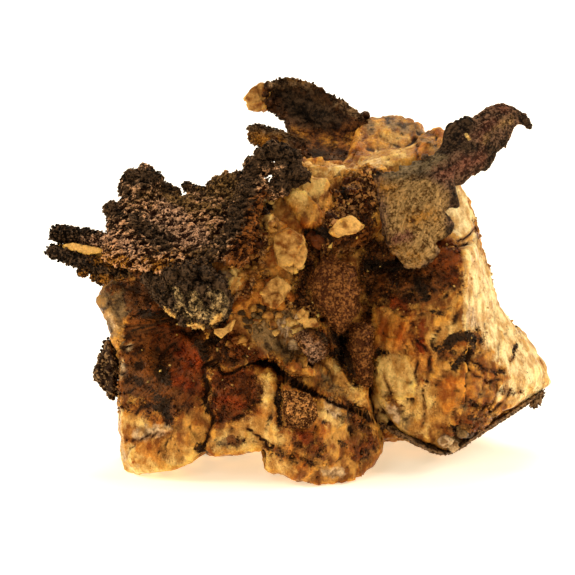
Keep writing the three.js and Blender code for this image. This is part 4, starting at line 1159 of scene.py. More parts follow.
def stone_material(name, looks, stained, ground):
    """Calcite: its ground under its stains, with painted shade in hollows, in broad dips and in and
    beside the cracks, darker along fine veins, paler on convex edges as a painted highlight, with fine
    dark specks and crisp plates, and light that sinks a little way in."""
    mix = Recipe(name)
    layers = []
    if stained:
        layers = [
            stone_shades(looks, "orange", 1.3, 0.70, 0.9, 0.20, 0.0, 0.05, drawn=STREAKY),
            stone_shades(looks, "cream", 1.4, 0.45, 0.9, 0.20, 0.0, 0.05, drawn=STREAKY),
            stone_shades(looks, "pale", 1.2, 0.35, 0.8, 0.20, 0.0, 0.05, drawn=STREAKY),
            stone_shades(looks, "drab", 0.9, 0.40, 0.8, 0.30, 0.12, 0.10),
            Layer(looks, "gravel", 0.7, 0.30, 0.6, 0.40, 0.30, 0.45, 0.04),
            stone_shades(looks, "umber", 1.0, 0.35, 0.9, 0.30, 0.20, 0.12, 0.02),
            stone_shades(looks, "rust", 1.2, 0.50, 0.9, 0.30, 0.16, 0.06),
            stone_shades(looks, "ember", 1.0, 0.60, 0.7, 0.30, 0.10, 0.06),
            stone_shades(looks, "grey", 0.7, 0.25, 0.4, 0.15, 0.0, 0.04),
            stone_shades(looks, "soot", 0.4, 0.12, 0.30, 0.30, 0.15, 0.10),
        ]
    colour = mix.layered(ground, layers)
    hollow = mix.attribute("hollow")
    if stained:
        # Painted shade: darker in the broad dips of the lump.
        shade_and_veins = mix.times(mix.coarse, 0.25, mix.attribute("dip"))
        shade_and_veins = mix.step(shade_and_veins, 0.0, 0.8, 0.0, 0.6)
        colour = mix.blend(shade_and_veins, colour, tuple(looks.shade_and_veins), "MULTIPLY")
        # Painted shade: brown beside the cracks and black inside them.
        crack_shade = mix.times(mix.fine, 0.12, mix.attribute("crack"))
        colour = mix.blend(mix.step(crack_shade, -0.35, 0.0, 0.0, 0.7), colour, tuple(looks.shade_and_veins), "MULTIPLY")
        colour = mix.blend(mix.step(crack_shade, -0.02, 0.10), colour, tuple(looks.soot_deep))
        # Fine dark veins in the calcite, in the same brown as the painted shade.
        veined = mix.step(mix.noise(3.4, 35, 2.0), 0.46, 0.60, 0.0, 0.9)
        lines = mix.calc("MULTIPLY", mix.veins(2.4, 37, 0.012, STREAKY), veined)
        colour = mix.blend(lines, colour, tuple(looks.shade_and_veins), "MULTIPLY")
    # Painted shade: dark in the narrow hollows.
    crevice_shade_and_specks = mix.step(mix.times(mix.fine, 0.03, hollow), 0.02, 0.16)
    colour = mix.blend(crevice_shade_and_specks, colour, tuple(looks.crevice_shade_and_specks))
    # Painted highlight: paler on convex edges.
    edge = mix.step(hollow, -0.10, -0.015, 0.5, 0.0)
    colour = mix.blend(edge, colour, tuple(looks.edge_highlight), "SOFT_LIGHT")
    # Dark specks in the calcite, in the colour of the painted shade in the narrow hollows.
    specks = mix.step(mix.noise(0.26, 31, 2.0), 0.66, 0.70)
    speckled = mix.step(mix.noise(2.6, 33, 2.0), 0.52, 0.62)
    colour = mix.blend(mix.calc("MULTIPLY", specks, speckled), colour, tuple(looks.crevice_shade_and_specks))
    mottle = mix.times(mix.sand, 0.25, mix.noise(0.20, 39, 3.0))
    mottle = mix.step(mottle, 0.3, 0.7, 0.87, 1.12)
    colour = mix.node("ShaderNodeHueSaturation", {"Color": colour, "Value": mottle}).outputs[0]
    plates = mix.calc("MULTIPLY", mix.broken(1.5, 55), 0.20)
    plates = mix.times(mix.broken(0.55, 53), 0.15, plates)
    quiet = mix.calc("MAXIMUM", mix.attribute("pale"), mix.attribute("cream"))
    quiet = mix.step(quiet, -0.4, 0.4, 1.0, 0.2)
    plates = mix.times(mix.calc("ADD", plates, -0.17), quiet, 1.0)
    colour = mix.node("ShaderNodeHueSaturation", {"Color": colour, "Value": plates}).outputs[0]
    bark = mix.times(mix.noise(0.22, 41, 4.0), 0.45, mix.noise(1.0, 43, 4.0))
    bark = mix.calc("ADD", bark, mix.noise(0.6, 47, 4.0, STREAKY))
    sockets = {
        "Base Color": colour,
        "Roughness": mix.step(mix.noise(0.5, 45, 3.0), 0.3, 0.7, 0.15, 0.50),
        "Normal": mix.bump(bark, looks.bark_depth / METRES),
        "Subsurface Weight": 0.10,
        "Subsurface Radius": (1.0, 0.5, 0.22),
        "Subsurface Scale": 0.0008,
        "Specular IOR Level": 0.14,
        "Specular Tint": (1.0, 0.74, 0.46, 1.0),
    }
    return mix.finish(sockets)


def silver_material(name, looks, ground, layers, stripes=False):
    """Tarnished native silver, partly metal: grains darker in their pits as painted shade and paler on
    their tops as painted highlight, with fine glints from a rough and a smooth finish side by side."""
    mix = Recipe(name)
    colour = mix.layered(ground, layers)
    if stripes:
        inputs = {"X": mix.attribute("along"), "Y": mix.attribute("across")}
        spot = mix.node("ShaderNodeCombineXYZ", inputs).outputs[0]
        inputs = {"Vector": spot, "Scale": (0.0003, 0.0016, 1.0)}
        drawn = mix.node("ShaderNodeMapping", inputs).outputs[0]
        lines = mix.noise(0.5, 0, 4.0, place=drawn)
        colour = mix.blend(mix.step(lines, 0.42, 0.60, 0.45, 0.0), colour, tuple(looks.black_deep))
    grit = mix.noise(0.20, 51, 3.0)
    rubbed = mix.step(mix.times(mix.sand, 0.6, grit), 0.3, 0.8, 0.30, 0.72)
    sockets = {
        "Base Color": colour,
        "Roughness": rubbed,
        "Metallic": 0.45,
        "Specular IOR Level": 0.15,
        "Specular Tint": (0.9, 0.66, 0.45, 1.0),
        "Normal": mix.bump(grit, looks.grit_depth / METRES),
    }
    return mix.finish(sockets)


# ---- What a user would change.


def tint(label, note, colour):
    """A colour setting, given as an 0 to 255 display colour."""
    return bpy.props.FloatVectorProperty(
        name=label, description=note, subtype="COLOR", size=4, min=0.0, max=1.0, default=linear(colour)
    )


def shades(table):
    """A deep and a light colour setting for each finish. The table says, for each name, what it is and
    which colours it has in its pits or darker patches and on its tops or paler patches."""
    settings = {}
    for name, (what, deep, light) in table.items():
        label = name.capitalize()
        settings[name + "_deep"] = tint(label + ", deep", what + ", darkest shade", deep)
        settings[name + "_light"] = tint(label + ", light", what + ", palest shade", light)
    return settings


def span(label, note, length):
    """A length setting, given in millimetres."""
    return bpy.props.FloatProperty(
        name=label, description=note, unit="LENGTH", min=0.0, precision=5, default=length * METRES
    )


def amount(label, note, number):
    """A whole number of things."""
    return bpy.props.IntProperty(name=label, description=note, min=0, default=number)


STONE_SHADES = {
    "clear": ("Bright crystals", (122, 64, 18), (222, 168, 88)),
    "honey": ("Clean calcite", (120, 68, 26), (202, 144, 66)),
    "orange": ("Iron stain", (140, 68, 18), (208, 136, 54)),
    "cream": ("Pale calcite", (180, 124, 56), (240, 196, 112)),
    "pale": ("Bleached calcite", (196, 150, 88), (250, 222, 160)),
    "gravel": ("Broken gravel", (46, 18, 5), (178, 124, 72)),
    "rust": ("Rusty ground", (48, 16, 3), (106, 52, 19)),
    "umber": ("Dark granular ground", (34, 14, 5), (108, 63, 29)),
    "grey": ("Clear grey calcite", (132, 98, 60), (216, 180, 132)),
    "drab": ("Grey-brown calcite", (56, 38, 20), (138, 106, 64)),
    "ember": ("Red stain", (88, 26, 4), (138, 58, 20)),
    "soot": ("Black oxide", (9, 5, 3), (44, 28, 16)),
}


class StoneLooks(bpy.types.PropertyGroup):
    """Sizes and colours of the calcite."""

    grid: amount("Grid", "Squares along each side of the lump's six grid faces", 128)
    grit_count: amount("Grit", "Fine grains on the lump's stained ground", 12000)
    gravel_count: amount("Gravel grains", "Broken gravel on the lump", 7000)
    facet_height: span("Facets", "How far broken facets stand out", 0.34)
    gravel_height: span("Gravel", "How far broken gravel stands out", 0.36)
    pebble_height: span("Pebbles", "How far the stained ground's grains stand out", 0.15)
    bark_depth: span("Bark", "Depth of the finest roughness", 0.17)
    # Brown of the painted shade in the broad dips and beside the cracks, also used for the fine veins.
    shade_and_veins: tint("Dirt", "Brown film in the broad dips and beside the cracks", (140, 84, 36))
    # Colour of the painted shade in the narrow hollows, also used for the fine dark specks.
    crevice_shade_and_specks: tint("Crevice", "Dark dirt in the narrow hollows", (44, 22, 8))
    # Colour of the painted highlight on convex edges.
    edge_highlight: tint("Worn edge", "Rubbed edges", (250, 220, 160))
    __annotations__.update(shades(STONE_SHADES))


SILVER_SHADES = {
    # Bronze: the light shade falls on the ropes' tops and the deep one between them, as painted highlight
    # and painted shade.
    "bronze": ("Rubbed ropes", (36, 12, 3), (226, 170, 120)),
    "black": ("Black crust", (12, 7, 4), (84, 62, 42)),
    # Glint: painted highlights, in a light pinkish tan.
    "glint": ("Polished crust", (40, 18, 10), (208, 160, 120)),
    "ash": ("Pale dust", (30, 22, 14), (206, 170, 112)),
    "olive": ("Dusty crust", (38, 24, 9), (150, 112, 64)),
    "gold": ("Yellow stain", (70, 34, 7), (186, 124, 44)),
    "grey": ("Grey sheen", (60, 48, 30), (140, 116, 80)),
    "dust": ("Dusty brown leaf", (38, 22, 12), (146, 112, 74)),
    "russet": ("Russet leaf", (40, 14, 3), (140, 82, 34)),
    "copper": ("Copper glitter", (62, 28, 8), (210, 146, 78)),
    "tan": ("Tan leaf", (84, 54, 22), (184, 143, 85)),
    "violet": ("Purple-brown leaf", (34, 20, 11), (130, 95, 69)),
    "red": ("Red sheen", (58, 28, 17), (140, 90, 66)),
    "brown": ("Brown leaf", (62, 28, 8), (146, 92, 44)),
    "sepia": ("Dark brown plate", (24, 10, 3), (88, 52, 26)),
}


class SilverLooks(bpy.types.PropertyGroup):
    """Sizes and colours of the silver."""

    leaf_step: span("Leaf step", "Distance between the points of a leaf's grid", 0.12)
    grain_height: span("Grains", "How far the crust's grains stand out", 0.34)
    rope_height: span("Ropes", "How far the dish's ropes stand out", 0.34)
    crumb_count: amount("Crumbs", "Loose crumbs on the left crust", 16000)
    grit_depth: span("Grit", "Depth of the finest roughness", 0.08)
    __annotations__.update(shades(SILVER_SHADES))


class StageLooks(bpy.types.PropertyGroup):
    """The floor, the lights and the camera."""

    floor: tint("Floor", "The pale floor", (250, 248, 244))
    glow: tint("Glow", "Light that comes back up from the floor", (230, 211, 176))
    field: span("Field", "Width that the camera takes in, at the specimen", 57.5)
    lens: bpy.props.FloatProperty(
        name="Lens", description="Focal length of the camera, in millimetres", default=200.0, min=10.0
    )


# ---- The pieces.

CRUST_SIZES = (1.3, 0.65, 0.34, 0.2)  # sizes of a crust's packed grains
FINE_SIZES = (0.5, 0.25)
CRUST_NAMES = ("olive", "gold", "russet", "glint", "black")  # stains that a crust may carry
# Round lumps grown on the silver: (x, y, z, radius) on the face.
CREST = [
    (-18.5, -7, 27.6, 0.7), (-16.8, -5.6, 29.9, 0.9), (-16.7, -5.2, 30.8, 0.8), (-15.8, -9.6, 26.3, 0.9),
    (-15.2, -5, 31.1, 0.9), (-14.4, -9.9, 25, 0.7), (-14.3, -5, 30.5, 0.8), (-13.6, -10, 24.4, 0.6),
    (-13, -5, 29.9, 0.4), (-12.2, -5, 29.5, 0.35), (-11, -5.2, 30, 0.3), (-10.4, -5.3, 29.6, 0.35),
    (-9.6, -5.4, 29.5, 0.4), (-8.4, -6, 29.8, 0.6), (-7.6, -6, 30.2, 0.8), (-6.9, -5.8, 30.7, 0.6),
    (-6, -5.8, 30.7, 0.6), (-4.4, -7, 32, 0.8), (-3.6, -7, 33, 0.75), (-2.6, -7, 33.5, 0.9),
    (-1.6, -7, 33.4, 0.8), (-0.7, -7.2, 32.7, 0.8), (-3.3, -7.2, 31.8, 0.7), (-1.6, -7.4, 31.6, 1),
    (-0.4, -7.6, 31.2, 1), (-1.8, -7.8, 30.2, 0.9), (-2.7, -7.8, 29.6, 0.8), (0.4, -7.6, 31, 0.6),
]
SIDE_LUMPS = [
    (-19.3, -3, 11.4, 0.5), (-18.9, -3, 10.5, 0.5), (-18.2, -3, 9.6, 0.5), (-18.2, -3, 13, 0.4),
    (-18.1, -3, 14.4, 0.3), (-18.4, -3, 11.6, 0.7),
]
ROPE = [
    (-5.4, -9.2, 29.6, 0.55), (-5.8, -9.8, 28.4, 0.5), (-6.3, -10.3, 27.3, 0.55), (-6.7, -10.9, 26.2, 0.5),
    (-7.1, -11.4, 25.1, 0.55), (-7.7, -12.1, 24.1, 0.5), (-8.5, -12.8, 23.2, 0.5), (-9.5, -13.3, 22.4, 0.5),
    (-10.6, -13.6, 22, 0.45), (-11.5, -13.7, 21.8, 0.4),
]
NODULE_LUMPS = [
    (-12.4, -13.6, 21.2, 0.8), (-10.8, -14, 21.5, 0.9), (-9.2, -14, 21.3, 0.8), (-8, -13.6, 20.4, 0.8),
    (-12.9, -13.4, 19.9, 0.7), (-11.2, -14.4, 19.8, 0.8), (-9.6, -14.6, 19.6, 0.7), (-8.2, -14, 18.8, 0.7),
    (-12, -13.8, 18.4, 0.7), (-10.4, -14.4, 18, 0.7), (-9.2, -14.2, 17, 0.6), (-11, -13.6, 16.8, 0.5),
    (-14.8, -12.6, 20.8, 0.5),
]
TIP_LUMPS = [(6.7, 9, 37.2, 0.42), (-3, 8.4, 40.2, 0.4), (-3.2, 8.2, 39.4, 0.3), (-3, 8, 38.6, 0.35)]
WING_LUMPS = [
    (22.5, -0.8, 36.9, 0.45), (22.9, -0.6, 36.4, 0.38), (23.1, -0.5, 36.1, 0.25), (12.7, -5, 32.9, 0.3),
]
LIP_LUMPS = [
    (-20, -9.4, 21.2, 0.5), (-19.4, -9.6, 20.9, 0.45), (-21.3, -9, 21.6, 0.4), (-18.5, -9.9, 21.6, 0.6),
    (-17.6, -10.2, 21.4, 0.5),
]
SHEET_LUMPS = [(24, 3.6, 8.7, 0.45), (24.3, 3.8, 9.3, 0.35), (23.6, 3.4, 8.2, 0.35)]
# Stains on the silver.
DISH_MARKS = {
    "black": [
        (1.1, -17, 31, -14.4, 31.2), (0.8, -19, 28.4, -18.4, 27.4),
        (0.9, -16.2, 26.6, -14.6, 25.2, -13.4, 24.4), (1, -4.6, 31.6, -5.6, 28.4, -6.6, 25.6),
        (1.3, -3.4, 33.6, -1.2, 33.8, 0.4, 31.8, -0.6, 30),
        (0.45, -6.6, 26.2, -7.7, 24.1, -9.5, 22.4, -11.5, 21.8),
        (0.9, -4.6, 32.4, -2.6, 33.4, -0.8, 32.4, -1.8, 30.4), (0.8, -18.6, 29.6, -17.2, 29.6),
        (0.6, -13.6, 30.6, -9.4, 30.4),
    ],
    # Glint marks: painted highlights where the dish glints.
    "glint": [
        (1.2, -14.6, 26, -12, 25.2, -10, 25), (0.7, -13.6, 28, -11.8, 27), (0.6, -17.6, 24.4, -16.4, 23.6),
        (0.6, -21, 24.4, -18.8, 25),
    ],
    "olive": [
        (1, -13.2, 29, -11.4, 28.4), (1.1, -9.2, 30.2, -6.8, 30.2, -6.4, 29.2),
        (0.4, -11.8, 27.6, -9.6, 28.2, -8, 27.4), (0.3, -9, 26, -8.2, 24.6), (0.8, -10.6, 24.4, -9, 23.4),
        (0.4, -16, 28.8, -14.8, 29.2), (0.5, -1.8, 33.8, -0.8, 32.4),
    ],
    "russet": [(0, -5.4, 29.6, -3, 29.6, -2.6, 27, -3.4, 24, -5.2, 21.4, -8.2, 21.4, -7, 23.6, -6.2, 26)],
    "gold": [
        (0.2, -21.8, 21.4, -20.6, 21), (0.4, -19.4, 20.6, -18, 20.4), (0.5, -14.2, 22.2, -12.6, 21.8),
        (0.3, -20.2, 22.8, -17.4, 22.4), (0.4, -10.6, 21.6, -8.8, 21.8),
    ],
}
NODULE_MARKS = {
    "ash": [
        (0.3, -10.6, 19.2, -9.8, 18.4), (0.22, -8.9, 19.8, -8.6, 19.2), (0.7, -10.6, 17.6, -8.8, 17.2),
        (0.4, -8.2, 19.4, -7.4, 18.6), (0.2, -12.4, 19.8, -12, 19.2), (0.35, -8.4, 18.4, -7.6, 17.6),
        (0.25, -12.2, 17.8, -11.6, 18.2),
    ],
    "cream": [
        (0.35, -13.2, 17.6, -12.6, 16.9), (0.3, -10.8, 16.2, -9.6, 15.9), (0.28, -8.6, 16.4, -7.8, 17.2),
    ],
}
WING_MARKS = {
    "tan": [
        (0, 8.4, 30.6, 9.4, 31.2, 11.6, 31.4, 14, 30.6, 15, 29.4, 14.8, 27.2, 14.6, 24.6, 13.6, 22.8, 11.4,
         21.9, 10, 22.8, 9, 25, 8.7, 28), (0.15, 18.6, 35, 20.4, 36.4, 21.2, 36.6),
    ],
    "gold": [(0.4, 11.4, 26.6, 13, 27), (0.3, 8.4, 30, 9.4, 29.2), (0.2, 9.8, 24, 11.4, 23.2)],
    # Grey marks: a painted grey sheen.
    "grey": [(0.9, 9.2, 31.6, 12, 32.2, 14.2, 32.6), (0.4, 14.4, 33.6, 14.6, 34.6)],
    # The first three red marks are painted: a red sheen, a highlight at (19.8, 38.1) and a pinkish sheen.
    "red": [
        (0.8, 14.4, 31.4, 16.4, 32.2, 18.2, 32.9), (0.3, 19.8, 38.1, 20.7, 37.9),
        (0.4, 18, 35.2, 19.6, 36.4), (0.5, 9.8, 24.8, 11, 25),
    ],
    "black": [
        (1.2, 14.9, 34.4, 15.5, 36, 16.4, 36.4), (0.6, 15.4, 34.2, 17.4, 34),
        (0.14, 11.4, 30.7, 13.2, 31.2, 14.8, 31.9, 16, 32.8), (0.25, 12.4, 32.8, 13, 33),
        (0.4, 15.6, 29.4, 15.9, 28.2, 15.2, 27.4), (0.4, 15.2, 25.8, 15.4, 25, 14.4, 24.2),
        (0.5, 18.9, 31.6, 19.6, 33, 19.4, 33.8), (0.4, 22.2, 37.2, 23.2, 36.2), (0.5, 7.4, 31.4, 9, 32),
        (0.3, 20, 33.6, 21, 34.8),
    ],
    "cream": [(0.16, 16.75, 35.25, 17.1, 34.8)],
}
PLATE_MARKS = {
    "black": [
        (0, -2.2, 39.4, -0.4, 40.2, 1.6, 39.6, 3.8, 38, 4.8, 36.6, 3, 35.8, 0.6, 36, -1, 36.8),
        (0.6, 1.6, 33.4, 4.4, 32.8), (0.5, -1.8, 41, -0.4, 41.2), (0.35, -3.4, 35.9, -2.4, 36),
        (0.35, -0.9, 35, 0.6, 34.4),
    ],
    "russet": [(0, -0.4, 36.2, 2.2, 36, 5.2, 36.4, 6.8, 35.6, 6.2, 33.6, 3.6, 32.2, 0.6, 33.4)],
    "dust": [(0.6, -2.4, 40.2, -0.6, 40.4, 1.2, 40), (0.4, 4, 38.4, 5.6, 37.4), (1.4, -4.2, 35, -2, 34.8)],
    "gold": [
        (0.2, -0.9, 41.1, 0.2, 40.7), (0.12, 1.6, 38.8, 2.6, 38.2), (0.4, -0.4, 35.4, 0.6, 35.2),
        (0.3, 2.6, 34.8, 3.6, 34.2), (0.5, 5.2, 34.6, 6.4, 35), (0.8, -3.8, 34.8, -2, 34.2),
    ],
}
LEAF_MARKS = {
    # Glint and copper marks are painted highlights: the glints of the shard and the glitter of the front
    # patch.
    "glint": [(0.9, -0.2, 14.9, 1.2, 13.6, 1.8, 12.4)],
    "copper": [(0.5, -0.4, 15, 0.2, 14.2), (1.4, -0.9, 9, 0.6, 7.4)],
    "black": [
        # The middle mark, from (4.4, 14.8) to (5.4, 10.8), is a painted shadow along the lower leaf's left
        # edge.
        (0.4, 2.2, 15.6, 3.2, 14.6), (0.35, 4.4, 14.8, 4.6, 12.6, 5.4, 10.8), (0.35, 1, 18, 2.2, 16.4),
    ],
}


def silver_shades(
    looks, mark, patch=0.5, soft=0.4, wander=0.6, speckle=0.8, grainy=0.26, sandy=0.5, lean=0.06, blur=0.17
):
    """A silver stain with its usual patch size and edge."""
    return Layer(looks, mark, patch, soft, wander, speckle, grainy, sandy, lean, blur=blur)


def crust_material(name, looks, ground):
    """Crust with painted glints, olive dust, gold stain and black where it is marked."""
    layers = [silver_shades(looks, mark) for mark in CRUST_NAMES]
    base = silver_shades(looks, ground, 0.16, grainy=0.46, sandy=0.46, lean=0.17, blur=0.12)
    return silver_material(name, looks, base, layers)


def with_marks(points, lift, marks, names):
    """The floats of a silver piece: its grains' heights and the depth of every mark it may carry."""
    floats = {name: np.full(len(points), -FARTHEST) for name in names}
    floats.update(marks_of(points, marks))
    floats["lift"] = lift
    return floats


def make_silver(name, shell, marks, names, material, node, slot):
    """Makes a piece of a crusted shell and the marks it may carry."""
    points, quads, lift = shell
    make_piece(name, points, quads, with_marks(points, lift, marks, names), material, node, slot)


class SPECIMEN_OT_lump(bpy.types.Operator):
    """Makes the stained calcite lump and the loose grains on its dark ground"""

    bl_idname = "specimen.lump"
    bl_label = "Calcite lump"

    def execute(self, context):
        looks = context.scene.specimen_stone
        honey = stone_shades(looks, "honey", 1.2, sandy=0.04, drawn=STREAKY)
        material = stone_material("stained_calcite", looks, True, honey)
        lump = lump_surface(looks)
        about = (material, "calcite_matrix", "calcite_lump")
        make_piece("calcite_lump", *lump, *about)
        make_piece("calcite_lump_grit", *lump_grit(*lump, looks), *about)
        make_piece("calcite_lump_gravel", *lump_gravel(*lump, looks), *about)
        make_piece("calcite_lump_rubble", *lump_rubble(*lump), *about)
        return {"FINISHED"}


class SPECIMEN_OT_left_crust(bpy.types.Operator):
    """Makes the left crust: a ropy dish with its rim, its crest and its horn"""

    bl_idname = "specimen.left_crust"
    bl_label = "Left crust"

    def execute(self, context):
        looks = context.scene.specimen_silver
        step = looks.leaf_step / METRES
        height = looks.grain_height / METRES
        material = crust_material("bronze_crust", looks, "bronze")
        flow = stand([[1.0, -0.2, 0.55]])[0] - stand([[0.0, 0.0, 0.0]])[0]
        flow /= np.linalg.norm(flow)
        shells = []
        parts = (("dish", 1.0, 0.5), ("rim", 1.1, 0.3), ("horn", 1.4, 0.3))
        for index, (name, thickness, bite) in enumerate(parts):
            points, quads, _, _ = leaf_shell(LEAVES[name], thickness, step, bite, 101 + 10 * index)
            drawn = drawn_out(points, flow, 2.8)
            rope = ropes(drawn, 0.5, 105)
            lift = grain_heights(drawn, (0.4, 0.24, 0.14), 111 + 10 * index)
            shape = rope * looks.rope_height / METRES + lift * height * 0.5
            points = points + normals_of(points, quads) * shape[:, None]
            shells.append((points, quads, 0.5 * lift + 0.5 * rope))
        shells.append(round_lumps(CREST, 14, CRUST_SIZES, height * 0.8, 141))
        shells.append(round_lumps(ROPE, 10, FINE_SIZES, height * 0.6, 145))
        points, quads, lift = joined(shells)
        # Painted shade: the crust's tone is darker in its hollows.
        lift = lift - np.clip(hollowness(points, quads, 30) / 0.3, -0.5, 1.0) - 0.1
        floats = with_marks(points, lift, DISH_MARKS, CRUST_NAMES)
        about = (material, "silver_crust_left", "silver_black_crust")
        make_piece("silver_left_crust", points, quads, floats, *about)
        normals = normals_of(points, quads)
        weight = np.clip(lift + 0.9, 0.05, None) * (0.2 + smooth_step(-0.3, 0.4, normals @ FRONT))
        count = looks.crumb_count
        sizes = (0.08, 0.23)
        points, quads, seats = scatter_crumbs(points, normals, count, sizes, 4.5, 151, weight, flow)
        tones = np.repeat(np.random.default_rng(153).uniform(-1.1, 1.1, count), CRUMB_POINTS)
        floats = {label: values[seats] for label, values in floats.items()}
        floats["lift"] = tones + 0.7 * floats["lift"]
        for index, label in enumerate(("olive", "gold", "black")):
            spread = np.random.default_rng(154 + index).uniform(-0.3, 1.5, count)
            floats[label] = floats[label] + np.repeat(spread, CRUMB_POINTS)
        make_piece("silver_left_crust_grains", points, quads, floats, *about)
        return {"FINISHED"}


class SPECIMEN_OT_black_lumps(bpy.types.Operator):
    """Makes the black nodule under the dish and the small crust on the left side"""

    bl_idname = "specimen.black_lumps"
    bl_label = "Black nodule and side crust"

    def execute(self, context):
        looks = context.scene.specimen_silver
        height = looks.grain_height / METRES
        points, quads = skin_of("silver_nodule_front", 48, 0.3, 2)
        core = crusted(points, quads, CRUST_SIZES, height, 161)
        core = joined([core, round_lumps(NODULE_LUMPS, 12, CRUST_SIZES, height * 0.8, 165)])
        shell = with_crumbs(core, 3200, (0.15, 0.45), 1.8, 171)
        cream = Layer(context.scene.specimen_stone, "cream", 0.6, 0.12, 0.3, 0.2, 0.1)
        layers = [silver_shades(looks, "ash", 0.9, 0.3, 0.6, 0.4, 0.2, 0.25), cream]
        material = silver_material("nodule_crust", looks, silver_shades(looks, "black"), layers)
        make_silver(
            "silver_nodule", shell, NODULE_MARKS, ("ash", "cream"), material,
            "silver_nodule_front", "silver_black_crust",
        )
        points, quads = skin_of("silver_crust_side", 24, 0.2, 1)
        core = crusted(points, quads, FINE_SIZES, 0.2, 181)
        balls = round_lumps(SIDE_LUMPS, 10, FINE_SIZES, 0.25, 191)
        shell = with_crumbs(joined([core, balls]), 1200, (0.15, 0.5), 1.3, 195)
        material = crust_material("side_crust", looks, "dust")
        make_silver(
            "silver_side_crust", shell, {}, CRUST_NAMES, material, "silver_crust_side", "silver_black_crust"
        )
        return {"FINISHED"}


class SPECIMEN_OT_fold(bpy.types.Operator):
    """Makes the folded leaf at the left end: two lips of silver with calcite between them"""

    bl_idname = "specimen.fold"
    bl_label = "Folded leaf"

    def execute(self, context):
        looks = context.scene.specimen_silver
        step = looks.leaf_step / METRES
        material = crust_material("lip_crust", looks, "black")
        for name, node, seed in (
            ("upper lip", "silver_fold_upper_lip", 201),
            ("lower lip", "silver_fold_lower_lip", 211),
        ):
            shell, _ = crusted_leaf(name, 1.15, step, 0.3, FINE_SIZES, 0.22, seed)
            if name == "lower lip":
                shell = joined([shell, round_lumps(LIP_LUMPS, 10, FINE_SIZES, 0.2, 217)])
            shell = with_crumbs(shell, 1200, (0.14, 0.4), 2.0, seed + 5)
            make_silver(
                node + "_leaf", shell, DISH_MARKS, CRUST_NAMES, material, node, "silver_black_crust"
            )
        looks = context.scene.specimen_stone
        clear = Layer(looks, "clear", 0.9, grainy=0.25, sandy=0.2, lean=-0.10)
        stone = stone_material("filling_calcite", looks, False, clear)
        points, quads = skin_of("calcite_fold_filling", 32, 0.2, 1)
        points, quads, lift = crusted(points, quads, (0.6, 0.3), 0.15, 221)
        floats = {"lift": lift, "hollow": hollowness(points, quads, 4)}
        make_piece(
            "calcite_filling", points, quads, floats, stone, "calcite_fold_filling", "calcite_crystal"
        )
        return {"FINISHED"}


class SPECIMEN_OT_wing(bpy.types.Operator):
    """Makes the large satin leaf that stands up at the right"""

    bl_idname = "specimen.wing"
    bl_label = "Right wing"

    def execute(self, context):
        looks = context.scene.specimen_silver
        step = looks.leaf_step / METRES
        points, quads, spot, _ = leaf_shell(LEAVES["wing"], 0.8, step, 1.0, 231)
        drawn = np.column_stack([spot[:, 0] * 0.22, spot[:, 1] * 1.1, points[:, 2] * 0.0])
        ridge = fractal(drawn, 0.7, 237, 3)
        lift = 0.6 * grain_heights(points, (0.34, 0.19), 241) + 0.7 * ridge
        tan = smooth_step(-0.3, 0.6, marks_of(points, WING_MARKS)["tan"])
        height = 0.16 - 0.08 * tan
        points = points + normals_of(points, quads) * (lift * height)[:, None]
        knobs = round_lumps(WING_LUMPS, 10, FINE_SIZES, 0.15, 245)
        knobs = (*knobs, np.zeros((len(knobs[0]), 2)))
        points, quads, lift, spot = joined([(points, quads, lift, spot), knobs])
        floats = with_marks(points, lift, WING_MARKS, WING_MARKS)
        floats["along"], floats["across"] = spot.T
        layers = [
            silver_shades(looks, "tan", 0.5, 0.5, 0.7, 0.3, 0.14, 0.40, 0.0),
            silver_shades(looks, "grey", 0.5, 0.5, 0.6, 0.4, 0.12, 0.36, 0.0),
            silver_shades(looks, "gold", 0.5, 1.2, 0.9, 1.2, 0.12, 0.40, 0.0),
            silver_shades(looks, "red", 0.4, 0.6, 0.6, 0.6, 0.25),
            silver_shades(looks, "black", 0.4, 0.25, 0.3, 0.3, 0.2),
            Layer(context.scene.specimen_stone, "cream", 0.6, 0.06, 0.1, 0.1, 0.1),
        ]
        ground = silver_shades(looks, "violet", 0.6)
        material = silver_material("satin_wing", looks, ground, layers, stripes=True)
        make_piece(
            "silver_wing", points, quads, floats, material, "silver_wing_right", "silver_satin_leaf"
        )
        return {"FINISHED"}


class SPECIMEN_OT_back_leaves(bpy.types.Operator):
    """Makes the curled brown plate at the top and the flake in front of it"""

    bl_idname = "specimen.back_leaves"
    bl_label = "Back plate and flake"

    def execute(self, context):
        looks = context.scene.specimen_silver
        layers = [
            silver_shades(looks, "russet", 0.8, 0.9, 0.7, 0.4, 0.14, 0.22),
            silver_shades(looks, "dust", 0.6, grainy=0.2, sandy=0.3),
            silver_shades(looks, "gold", 0.6, 0.4, 0.6, 0.5, 0.2, 0.3),
            silver_shades(looks, "black", 0.8, 0.9, 0.8, 0.4, 0.14, 0.22),
        ]
        ground = silver_shades(looks, "sepia", 0.8, grainy=0.14, sandy=0.16)
        material = silver_material("back_leaf", looks, ground, layers)
        step = looks.leaf_step / METRES
        for name, node, thickness, bite, seed in (
            ("back plate", "silver_plate_back", 1.1, 0.3, 251),
            ("back flake", "silver_flake_back", 0.8, 0.4, 261),
        ):
            shell, rim = crusted_leaf(name, thickness, step, bite, (1.0, 0.5), 0.16, seed)
            shell = with_crumbs(shell, 900, (0.10, 0.28), 1.6, seed + 5, rim)
            if name == "back plate":
                shell = joined([shell, round_lumps(TIP_LUMPS, 8, FINE_SIZES, 0.2, 257)])
            make_silver(
                node + "_leaf", shell, PLATE_MARKS, PLATE_MARKS, material, node, "silver_brown_leaf"
            )
        return {"FINISHED"}


